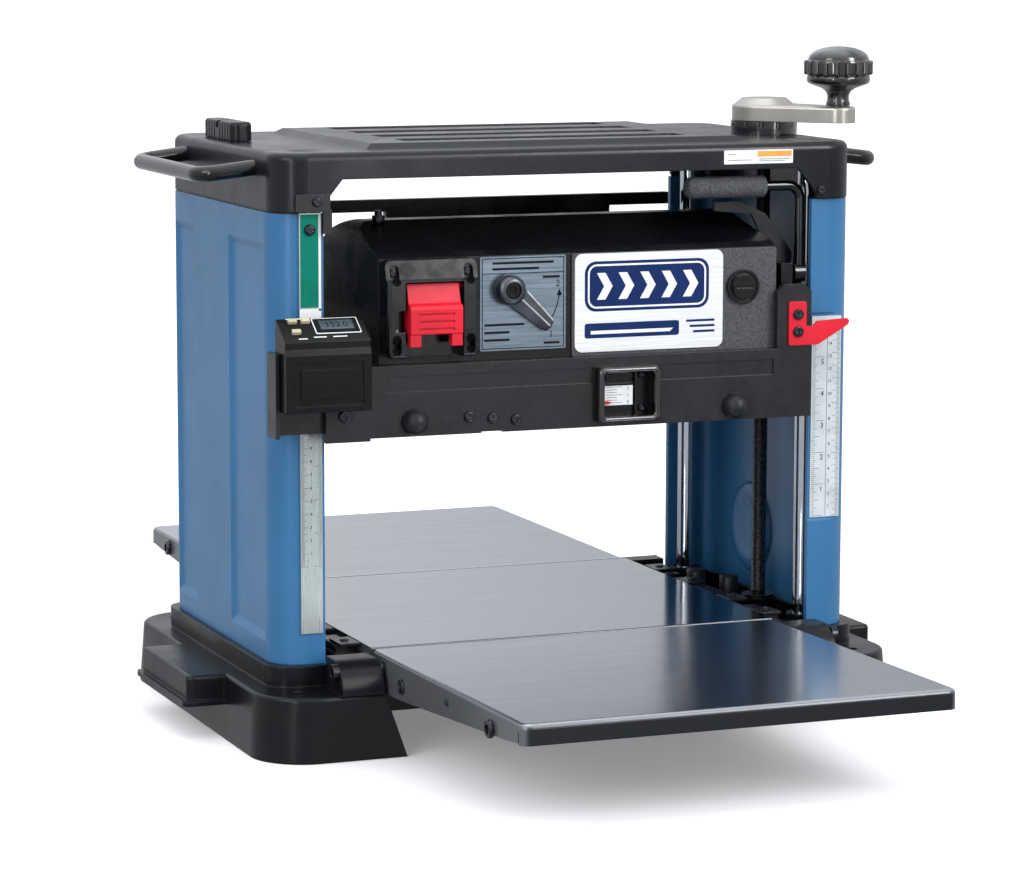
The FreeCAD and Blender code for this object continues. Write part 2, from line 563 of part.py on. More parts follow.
def drive_housing():
    """The moulded hood over the motor, open underneath."""
    shell = house_solid(0, 0, HOUSE_LOW, HOUSE_ROUND)
    shell = shell.cut(house_solid(3.5, 4, HOUSE_LOW - 1, HOUSE_ROUND - 4))
    shell = shell.cut(rod(9, (HOUSE_R - 6, MOTOR_Y, MOTOR_Z), (HOUSE_R + 1, MOTOR_Y, MOTOR_Z)))
    shell = shell.cut(rod(4 + RUN, (SPEED_X, HOUSE_Y - 1, SPEED_Z), (SPEED_X, HOUSE_Y + 5, SPEED_Z)))
    shell = shell.cut(rod(2.05, (-133, -66, 380), (-133, -66, 400)))
    return shell


def right_cover_plate():
    return rounded(block(-7, HOUSE_R, HOUSE_Y - 2, HOUSE_Y, HOUSE_LOW, HOUSE_EDGE), 2, Y_AXIS)


def name_plate():
    return rounded(block(-5, 119, HOUSE_Y - 3, HOUSE_Y - 2, 295, 370.5), 6, Y_AXIS)


def brush_cap():
    cap = rod(13.5, (136, HOUSE_Y - 2, 341), (136, HOUSE_Y - 5, 341))
    dome = rod(9.5, (136, HOUSE_Y - 5, 341), (136, HOUSE_Y - 7.5, 341))
    cap = cap.fuse(dome).cut(tube(11.5, 10, (136, HOUSE_Y - 3.5, 341), (136, HOUSE_Y - 6, 341)))
    return cap.cut(block(129, 143, HOUSE_Y - 8, HOUSE_Y - 6, 340, 342))


PADDLE_Y, PADDLE_Z, PADDLE_PIN = -160.0, 351.0, 2.0
SPEED_X, SPEED_Z = -60.0, 345.5


def upright_slot(x, z0, z1, radius, y0, y1):
    """A cutter with round ends, for a tall screw recess in a front face."""
    slot = rod(radius, (x, y0, z0), (x, y1, z0)).fuse(rod(radius, (x, y0, z1), (x, y1, z1)))
    return slot.fuse(block(x - radius, x + radius, y0, y1, z0, z1))


def switch_box():
    """The switch's housing, with its screw recesses, a sloping brow and a bay for the paddle."""
    box = rounded(block(-162, -89, -169, HOUSE_Y, 298, 371), 5, Y_AXIS)
    box = rounded(box, 3, Z_AXIS, lambda p: p.y < -168)
    box = box.cut(prism([(-170, 355), (-170, 372), (-160, 372), (-165, 357)], "x", -163, -88))
    for x in (-155, -96):
        for z in (304, 356):
            box = box.cut(upright_slot(x, z, z + 8, 3.6, -170, -159))
    box = box.cut(block(-148, -101.5, -170, -155, 297, 355))
    box = box.cut(block(-156, -148, -170, -160, 318, 334))
    return box.cut(rod(PADDLE_PIN + RUN, (-152, PADDLE_Y, PADDLE_Z), (-97.5, PADDLE_Y, PADDLE_Z)))


def switch_paddle():
    """The red safety paddle: a sloping upper part, a ribbed block and two legs, on a hinge pin."""
    side = [(-158, 354), (-164, 353.5), (-168, 339), (-172, 337.5), (-173.5, 335), (-173.5, 316),
            (-165, 316), (-158, 320)]
    paddle = prism(side, "x", -145.5, -104)
    paddle = rounded(paddle, 1, X_AXIS, lambda p: p.y < -166)
    for x in (-145.5, -112.5):
        paddle = paddle.fuse(block(x, x + 8.5, -172.5, -165, 307, 318))
    for z in (319, 324.5, 330):
        paddle = paddle.cut(block(-139, -110.5, -175, -172, z, z + 1.8))
    return paddle.fuse(rod(PADDLE_PIN, (-151, PADDLE_Y, PADDLE_Z), (-98.5, PADDLE_Y, PADDLE_Z)))


def speed_plate():
    plate = rounded(block(-82, -12, HOUSE_Y - 1.2, HOUSE_Y, 299, 370.5), 1.5, Y_AXIS)
    return plate.cut(rod(4 + RUN, (SPEED_X, HOUSE_Y - 3, SPEED_Z), (SPEED_X, HOUSE_Y + 5, SPEED_Z)))


def speed_lever():
    """The feed-speed lever: a round hub and a tapered finger."""
    hub = rod(12, (SPEED_X, HOUSE_Y - 1.6, SPEED_Z), (SPEED_X, HOUSE_Y - 11, SPEED_Z))
    hub = hub.fuse(rod(8.5, (SPEED_X, HOUSE_Y - 11, SPEED_Z), (SPEED_X, HOUSE_Y - 15, SPEED_Z)))
    finger = [(-7, -7), (27, -34), (30, -34), (37, -26), (37, -23), (8, 7)]
    outline = [(SPEED_X + x, SPEED_Z + z) for x, z in finger]
    lever = hub.fuse(prism(outline, "y", HOUSE_Y - 12, HOUSE_Y - 5))
    lever = lever.fuse(rod(4, (SPEED_X, HOUSE_Y - 2, SPEED_Z), (SPEED_X, HOUSE_Y + 12, SPEED_Z)))
    return lever.cut(rod(5, (SPEED_X, HOUSE_Y - 16, SPEED_Z), (SPEED_X, HOUSE_Y - 12, SPEED_Z)))


def gauge_frame():
    frame = rounded(block(9, 61, -167, APRON_Y, 241.5, 284.5), 3, Y_AXIS)
    return frame.cut(rounded(block(14, 56, -168, APRON_Y + 1, 246, 280), 2, Y_AXIS))


def gauge_pointer():
    """The red pointer of the depth-of-cut gauge, on its slide rod."""
    pointer = prism([(16, 254.8), (20, 254.8), (24, 256), (20, 257.2), (16, 257.2)], "y", -158.7, -157.7)
    return pointer.fuse(rod(1.2, (16, -157.5, 247), (16, -157.5, 266)))


def bumper(x):
    dome = Part.makeSphere(10, V(x, -162, 249))
    dome = dome.common(block(x - 12, x + 12, -175, APRON_Y, 235, 262))
    return dome


def carriage_screws():
    screws = [screw_head((x, APRON_Y, z), (0, -1, 0), r + 2.0, 2.6, r, 5.5) for x, z, r in APRON_HOLES]
    screws += [screw_head((POINTER_X, -162, z), (0, -1, 0), 4.2, 2.4, 1.9, 2.0) for z in POINTER_SCREWS]
    thumb = rod(2, (-133, -66, 385), (-133, -66, 393)).fuse(rod(5, (-133, -66, 393), (-133, -66, 397)))
    thumb = thumb.fuse(rod(3, (-133, -66, 397), (-133, -66, 401)))
    return screws + [thumb]


def dro_bracket():
    bracket = block(-248, -182, APRON_BACK, -151, 243, 300)
    bracket = bracket.fuse(block(-251, -248, -172, -151, 243, 306))
    return bracket.cut(rod(3.25, (-193, -156, 256), (-193, -148, 256)))


DRO_KEYS = ((-236, 0), (-236, 1), (-226, 1))


def dro_key_place(index):
    """A key's centre on the sloping face."""
    x, row = DRO_KEYS[index]
    return V(x, -175.5 + 10 * row, 321.8 + 6.8 * row)


DRO_SLOPE = math.atan2(16.0, 23.5)


def dro_normal():
    return V(0, -math.sin(DRO_SLOPE), math.cos(DRO_SLOPE))


def dro_body():
    """The digital read-out's case: ribbed front and a sloping face for the display and keys."""
    side = [(-186, 263), (-186, 306), (-184, 310), (-184, 316), (-160.5, 332), (-160.5, 263)]
    case = rounded(prism(side, "x", -247.5, -181), 1.5, X_AXIS)
    case = case.cut(block(-241, -187, -187, -185, 268, 300))
    case = case.fuse(block(-236, -192, -186, -184, 273, 295))
    case = case.fuse(block(-247.5, -212, -160.5, APRON_BACK, 266, 298))
    for index in range(3):
        seat = key_prism(dro_key_place(index), 7.6, 4.6, -6, 3)
        case = case.cut(seat)
    return case


def key_prism(centre, wide, tall, low, high):
    """A rectangular block square to the sloping face, from low to high along its normal."""
    out = dro_normal()
    up = out.cross(X_AXIS) * -1
    corner = centre - X_AXIS * (wide / 2) - up * (tall / 2) + out * low
    ring = [corner, corner + X_AXIS * wide, corner + X_AXIS * wide + up * tall, corner + up * tall]
    return Part.Face(Part.makePolygon(ring + ring[:1])).extrude(out * (high - low))


def dro_key(index):
    return key_prism(dro_key_place(index), 6.6, 3.6, -2.6, 2.2)


POINTER_X = 179.7
POINTER_SCREWS = (305.0, 318.5)


def height_pointer():
    """The red pointer at the ruler: a plate with two screws and a tapering arrow."""
    plate = rounded(block(172, 187, -162, APRON_Y, 294.2, 328.5), 2, Y_AXIS)
    arrow = [(184, 309), (193, 309), (196.5, 312.6), (222.5, 314), (224.5, 311.8), (223, 308.8),
             (197, 294.2), (184, 294.2)]
    plate = plate.fuse(prism(arrow, "y", -162, APRON_Y))
    for z in POINTER_SCREWS:
        plate = plate.cut(rod(1.95, (POINTER_X, -163, z), (POINTER_X, -159, z)))
    return plate


LEVER_X, LEVER_Y, LEVER_Z = 196.0, -128.0, 348.0
LEVER_TOP = 416.5
GRIP_R = 8.4


def lock_lever():
    """The head-lock lever: a bar bent at a right angle, on a hub that turns about a pin."""
    path = [(LEVER_X, LEVER_Y, LEVER_Z + 6), (LEVER_X, LEVER_Y, LEVER_TOP), (100, LEVER_Y, LEVER_TOP)]
    bar = bent_rod(path, 4, 10)
    hub = rod(7.5, (190, LEVER_Y, LEVER_Z), (199.3, LEVER_Y, LEVER_Z))
    return bar.fuse(hub).cut(rod(3 + RUN, (185, LEVER_Y, LEVER_Z), (205, LEVER_Y, LEVER_Z)))


def lock_grip():
    """A foam sleeve, closed and rounded at its free end."""
    grip = rod(GRIP_R, (98, LEVER_Y, LEVER_TOP), (165, LEVER_Y, LEVER_TOP))
    grip = grip.makeFillet(5, [e for e in grip.Edges if abs(e.CenterOfMass.x - 98) < 0.01])
    grip = grip.makeFillet(1.5, [e for e in grip.Edges if abs(e.CenterOfMass.x - 165) < 0.01])
    return grip.cut(rod(4.02, (100, LEVER_Y, LEVER_TOP), (166, LEVER_Y, LEVER_TOP)))


def lock_stay_bar():
    outline = [(195, 322), (195, 364), (172, 394), (150, 404), (128, 404), (128, 397), (160, 394), (167, 380),
               (184, 354), (184, 322)]
    return prism(outline, "y", -117, -114)


def dust_hood():
    """The chip chute behind the cutterhead, with a round collar for a hose."""
    outer = [(-4, 292), (-4, 340), (20, 372), (132, 372), (132, 292)]
    inner = [(-1, 291), (-1, 339), (22, 369), (129, 369), (129, 300), (60, 300), (40, 291)]
    hood = prism(outer, "x", -80, 160).cut(prism(inner, "x", -77, 157))
    hood = hood.cut(rod(COLLAR_IN, (20, 125, 334), (20, 140, 334)))
    collar = tube(COLLAR_R, COLLAR_IN, (20, 131, 334), (20, 172, 334))
    return hood.fuse(collar).fuse(block(-113, 194, 120, 128, 384, 394)).fuse(block(-60, 140, 120, 128, 371, 385))


def motor_body():
    can = tube(37, 33, (-156, MOTOR_Y, MOTOR_Z), (-20, MOTOR_Y, MOTOR_Z))
    for x in (-156, -24):
        can = can.fuse(tube(33.5, 6.1, (x, MOTOR_Y, MOTOR_Z), (x + 4, MOTOR_Y, MOTOR_Z)))
    return can


def motor_armature():
    """The motor's shaft with its laminated core, fan and belt pulley."""
    axis_rod = lambda r, x0, x1: rod(r, (x0, MOTOR_Y, MOTOR_Z), (x1, MOTOR_Y, MOTOR_Z))
    shaft = axis_rod(6, -150, 180).fuse(axis_rod(26, -120, -60)).fuse(axis_rod(14, -145, -126))
    fan = axis_rod(30, -10, -6)
    return shaft.fuse(fan).fuse(axis_rod(14, 168, 180))


def cutterhead():
    """A solid head with rows of small square knives, its journals and the driven pulley."""
    head = rod(24, (-166, CUTTER_Y, CUTTER_Z), (166, CUTTER_Y, CUTTER_Z))
    head = head.fuse(rod(10, (-200, CUTTER_Y, CUTTER_Z), (200, CUTTER_Y, CUTTER_Z)))
    head = head.fuse(rod(20, (168, CUTTER_Y, CUTTER_Z), (180, CUTTER_Y, CUTTER_Z)))
    knife = block(-6, 6, -2, 2, 20, 25).common(rod(CUTTER_R, (-10, 0, 0), (10, 0, 0)))
    for row in range(6):
        for step in range(10):
            piece = knife.copy()
            piece.rotate(V(0, 0, 0), X_AXIS, 60 * row + 12 * step)
            piece.translate(V(-152 + 32 * step + 3 * row, CUTTER_Y, CUTTER_Z))
            head = head.fuse(piece)
    return head


def feed_roller(y):
    roller = rod(ROLLER_R, (-165, y, ROLLER_Z), (165, y, ROLLER_Z))
    return roller.fuse(rod(6, (-194, y, ROLLER_Z), (194, y, ROLLER_Z)))


def kickback_pawls():
    """A row of toothed pawls on one shaft, ahead of the cutterhead."""
    y, z = -110.0, 243.0
    row = rod(3, (-182.5, y, z), (182.5, y, z))
    for i in range(12):
        x = -154 + 28 * i
        side = [(y - 5, z + 5), (y + 5, z + 5), (y + 9, z - 13), (y + 3, z - 13), (y - 5, z - 4)]
        pawl = prism(side, "x", x - 4, x + 4)
        row = row.fuse(pawl)
    return row


def drive_belt():
    """The belt from the motor's pulley to the cutterhead's."""
    def loop(grow):
        ends = [(MOTOR_Y, MOTOR_Z, 14 + grow), (CUTTER_Y, CUTTER_Z, 20 + grow)]
        (ya, za, ra), (yb, zb, rb) = ends
        line = math.atan2(zb - za, yb - ya)
        lean = math.acos((ra - rb) / math.hypot(yb - ya, zb - za))
        outline = [(y + r * math.cos(line + s * lean), z + r * math.sin(line + s * lean))
                   for (y, z, r), s in ((ends[0], 1), (ends[1], 1), (ends[1], -1), (ends[0], -1))]
        body = prism(outline, "x", 169, 179)
        for y, z, r in ends:
            body = body.fuse(rod(r, (169, y, z), (179, y, z)))
        return body
    return loop(3.5).cut(loop(0.4))


def feed_gearbox():
    """The closed case of the two-speed reduction that drives the feed rollers."""
    return rounded(block(-182, -168, -96, 84, 268, 288), 3, X_AXIS)


def main():
    os.makedirs("parts", exist_ok=True)
    save("base_casting", base_casting())
    right_foot = foot()
    save("right_foot", right_foot)
    save("left_foot", mirrored_x(right_foot))
    save("main_table", main_table())
    rail = table_rail()
    save("table_rails", rail, mirrored_x(rail))
    save("guide_posts", *at_posts(guide_post))
    save("right_column_cover", right_column_cover())
    save("left_column_cover", left_column_cover())
    save("right_lead_screw", lead_screw(SCREW_X, 476))
    save("left_lead_screw", lead_screw(-SCREW_X, 443))
    save("drive_chain", drive_chain())
    save("screw_bearings", *[make(x) for make in (lower_bearing, upper_bearing) for x in (-SCREW_X, SCREW_X)])
    save("top_plate", top_plate())
    save("top_cover", top_cover())
    save("left_carry_handle", carry_handle(-1))
    save("right_carry_handle", carry_handle(1))
    save("crank_collar", crank_collar())
    save("crank_arm", crank_arm())
    save("crank_knob", crank_knob())
    save("depth_stop_knob", depth_stop_knob())
    save("left_scale_strip", left_scale_strip())
    save("right_ruler", right_ruler())
    save("strip_bracket", strip_bracket())
    save("frame_fasteners", *frame_fasteners())
    save("infeed_extension", extension(EXT_TILT))
    save("outfeed_extension", mirrored_y(extension(0)))
    save("head_casting", head_casting())
    save("post_bushings", *at_posts(post_bushing))
    save("lead_nuts", lead_nut(-SCREW_X), lead_nut(SCREW_X))
    save("front_apron", front_apron())
    save("drive_housing", drive_housing())
    save("right_cover_plate", right_cover_plate())
    save("name_plate", name_plate())
    save("brush_cap", brush_cap())
    save("switch_box", switch_box())
    save("switch_paddle", switch_paddle())
    save("speed_plate", speed_plate())
    save("speed_lever", speed_lever())
    save("gauge_frame", gauge_frame())
    save("gauge_pointer", gauge_pointer())
    save("apron_bumpers", bumper(-138), bumper(126.5))
    save("carriage_screws", *carriage_screws())
    save("dro_bracket", dro_bracket())
    save("dro_body", dro_body())
    for index, name in enumerate(("dro_key_front", "dro_key_left", "dro_key_right")):
        save(name, dro_key(index))
    save("height_pointer", height_pointer())
    save("lock_lever", lock_lever())
    save("lock_grip", lock_grip())
    save("lock_stay_bar", lock_stay_bar())
    save("dust_hood", dust_hood())
    save("motor_body", motor_body())
    save("motor_armature", motor_armature())
    save("cutterhead", cutterhead())
    save("infeed_roller", feed_roller(INFEED_Y))
    save("outfeed_roller", feed_roller(OUTFEED_Y))
    save("kickback_pawls", kickback_pawls())
    save("drive_belt", drive_belt())
    save("feed_gearbox", feed_gearbox())


main()
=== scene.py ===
"""Looks for the thickness planer: procedural materials, fine detail, camera and light."""

import math

import bmesh
import bpy
from mathutils import Matrix, Vector


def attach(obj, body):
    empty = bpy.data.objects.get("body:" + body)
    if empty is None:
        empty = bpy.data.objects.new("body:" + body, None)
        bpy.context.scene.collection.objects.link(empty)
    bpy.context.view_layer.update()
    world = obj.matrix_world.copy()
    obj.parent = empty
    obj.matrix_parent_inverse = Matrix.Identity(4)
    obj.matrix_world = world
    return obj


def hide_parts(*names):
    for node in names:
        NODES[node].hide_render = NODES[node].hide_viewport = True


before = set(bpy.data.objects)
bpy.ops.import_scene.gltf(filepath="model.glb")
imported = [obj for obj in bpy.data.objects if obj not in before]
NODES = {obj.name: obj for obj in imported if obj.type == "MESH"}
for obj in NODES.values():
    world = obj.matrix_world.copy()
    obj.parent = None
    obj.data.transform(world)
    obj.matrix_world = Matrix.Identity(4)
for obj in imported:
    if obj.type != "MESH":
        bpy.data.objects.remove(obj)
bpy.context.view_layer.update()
MM = 0.001

# Places on the machine, in millimetres; the operator stands toward -y.
SCREW_X, SCREW_Y = 215.0, -22.0                    # the lead screws' axes, right and left of the middle
RIGHT_SCREW_TOP, LEFT_SCREW_TOP = 476.0, 443.0
CRANK_REACH, CRANK_ANGLE = 70.0, -58.0             # the crank's length, and its direction in degrees
RULER_FACE, RULER_ZERO = -137.6, 154.0             # front faces in y, and the height of the scales' zero
STRIP_FACE, STRIP_ZERO = -139.5, 140.0
TOP_LABEL_FACE = -142.0
NAME_PLATE_FACE = -153.0
SPEED_PLATE_FACE = -151.2
SPEED_X, SPEED_Z = -60.0, 345.5                    # the feed-speed lever's axis
GAUGE_BACK_FACE = -153.9
EXTENSION_SIDE_X = 168.0                           # outer faces of the extensions' side plates
INCH = 25.4


# ---------------------------------------------------------------- materials
def linear(color):
    """A display colour, 0 to 1 in each channel, as scene-linear RGBA."""
    return tuple(c / 12.92 if c <= 0.04045 else ((c + 0.055) / 1.055) ** 2.4 for c in color) + (1.0,)


def hexcolor(text):
    return tuple(int(text[i:i + 2], 16) / 255 for i in (0, 2, 4))


def tinted(color, factor):
    return tuple(min(1.0, max(0.0, c * factor)) for c in color)


class Surface:
    """A node-built material: mottled colour, worn edges with painted highlights, painted shade on side faces,
    uneven gloss and a fine bump.
    """

    def __init__(self, name, color, rough, metal=0.0):
        self.material = bpy.data.materials.new(name)
        self.material.use_nodes = True
        self.tree = self.material.node_tree
        self.shader = self.tree.nodes["Principled BSDF"]
        self.shader.inputs["Metallic"].default_value = metal
        self.coords = self.node("ShaderNodeTexCoord")
        self.color = color
        self.rough = rough
        self.base = None
        self.normal = None

    def node(self, kind, **settings):
        made = self.tree.nodes.new(kind)
        for key, value in settings.items():
            setattr(made, key, value)
        return made

    def link(self, a, b):
        self.tree.links.new(a, b)

    def noise(self, scale, detail=3.0, stretch=(1, 1, 1), distortion=0.0):
        mapping = self.node("ShaderNodeMapping")
        mapping.inputs["Scale"].default_value = stretch
        self.link(self.coords.outputs["Object"], mapping.inputs["Vector"])
        noise = self.node("ShaderNodeTexNoise")
        noise.inputs["Scale"].default_value = scale
        noise.inputs["Detail"].default_value = detail
        noise.inputs["Distortion"].default_value = distortion
        self.link(mapping.outputs["Vector"], noise.inputs["Vector"])
        return noise.outputs["Fac"]

    def spread(self, value, low, high, start=0.3, end=0.7):
        ranged = self.node("ShaderNodeMapRange")
        for key, number in (("From Min", start), ("From Max", end), ("To Min", low), ("To Max", high)):
            ranged.inputs[key].default_value = number
        self.link(value, ranged.inputs["Value"])
        return ranged.outputs["Result"]

    def mix(self, factor, a, b):
        """Mixes two colours; each is a tuple of channels or a socket."""
        mixer = self.node("ShaderNodeMix", data_type="RGBA")
        self.link(factor, mixer.inputs["Factor"])
        for value, socket in ((a, mixer.inputs["A"]), (b, mixer.inputs["B"])):
            if isinstance(value, tuple):
                socket.default_value = linear(value)
            else:
                self.link(value, socket)
        return mixer.outputs["Result"]

    def mottle(self, scale, amount, stretch=(1, 1, 1), detail=4.0):
        factor = self.spread(self.noise(scale, detail, stretch), 0.0, 1.0)
        self.base = self.mix(factor, tinted(self.color, 1 - amount), tinted(self.color, 1 + amount))
        return self

    def gloss(self, scale, swing, stretch=(1, 1, 1), detail=3.0):
        value = self.spread(self.noise(scale, detail, stretch), self.rough - swing, self.rough + swing)
        self.link(value, self.shader.inputs["Roughness"])
        return self

    def dark_sides(self, side, end, low, high):
        """Paints shade on the faces that don't look up: darker colours as painted dark reflections, and less
        metal, in the object's own space.
        """
        parts = self.node("ShaderNodeSeparateXYZ")
        self.link(self.coords.outputs["Normal"], parts.inputs["Vector"])
        along = self.node("ShaderNodeMath", operation="ABSOLUTE")
        self.link(parts.outputs["Y"], along.inputs[0])
        # Side and end faces get painted dark reflections in place of the base colour.
        painted_side_shade = self.mix(self.spread(along.outputs["Value"], 0.0, 1.0, 0.75, 0.97), side, end)
        self.base = self.mix(self.spread(parts.outputs["Z"], 0.0, 1.0, low, high), painted_side_shade, self.base)
        self.link(self.spread(parts.outputs["Z"], 0.45, 1.0, low, high), self.shader.inputs["Metallic"])
        return self

    def soft_edges(self, radius=0.0008):
        bevel = self.node("ShaderNodeBevel", samples=4)
        bevel.inputs["Radius"].default_value = radius
        self.normal = bevel.outputs["Normal"]
        return self

    def wear(self, color, amount=0.5, scale=180):
        """Lightens the rounded edges unevenly, partly as wear and partly as painted edge highlights; needs
        soft_edges first.
        """
        geometry = self.node("ShaderNodeNewGeometry")
        dot = self.node("ShaderNodeVectorMath", operation="DOT_PRODUCT")
        self.link(self.normal, dot.inputs[0])
        self.link(geometry.outputs["Normal"], dot.inputs[1])
        edge = self.spread(dot.outputs["Value"], amount, 0.0, 0.86, 0.995)
        patch = self.spread(self.noise(scale, 4.0), 0.2, 1.0)
        both = self.node("ShaderNodeMath", operation="MULTIPLY")
        self.link(edge, both.inputs[0])
        self.link(patch, both.inputs[1])
        self.base = self.mix(both.outputs["Value"], self.base or self.color, color)
        return self

    def bump(self, scale, strength, distance=0.0002, stretch=(1, 1, 1), detail=2.0):
        bump = self.node("ShaderNodeBump")
        bump.inputs["Strength"].default_value = strength
        bump.inputs["Distance"].default_value = distance
        self.link(self.noise(scale, detail, stretch), bump.inputs["Height"])
        if self.normal:
            self.link(self.normal, bump.inputs["Normal"])
        self.normal = bump.outputs["Normal"]
        return self

    def done(self, coat=0.0, coat_rough=0.1, specular=0.5, anisotropic=0.0):
        self.link(self.base or self.mottle(40, 0.05).base, self.shader.inputs["Base Color"])
        if self.normal:
            self.link(self.normal, self.shader.inputs["Normal"])
        if not self.shader.inputs["Roughness"].is_linked:
            self.gloss(60, 0.04)
        self.shader.inputs["Coat Weight"].default_value = coat
        self.shader.inputs["Coat Roughness"].default_value = coat_rough
        self.shader.inputs["Specular IOR Level"].default_value = specular
        self.shader.inputs["Anisotropic"].default_value = anisotropic
        return self.material


def sheet_steel(name, rough):
    """Polished sheet, brushed across the machine, less metallic and painted darker down its sides and folded
    edges, as painted dark reflections.
    """
    sheet = Surface(name, hexcolor("b2b6be"), rough, 1.0).mottle(10, 0.02, (1, 8, 1))
    sheet.dark_sides(hexcolor("6c6e73"), hexcolor("24262c"), 0.6, 0.93).soft_edges(0.0012)
    sheet.gloss(30, 0.012, (1, 12, 1)).bump(260, 0.007, 0.00004, (1, 16, 1))
    return sheet.done(anisotropic=0.2)


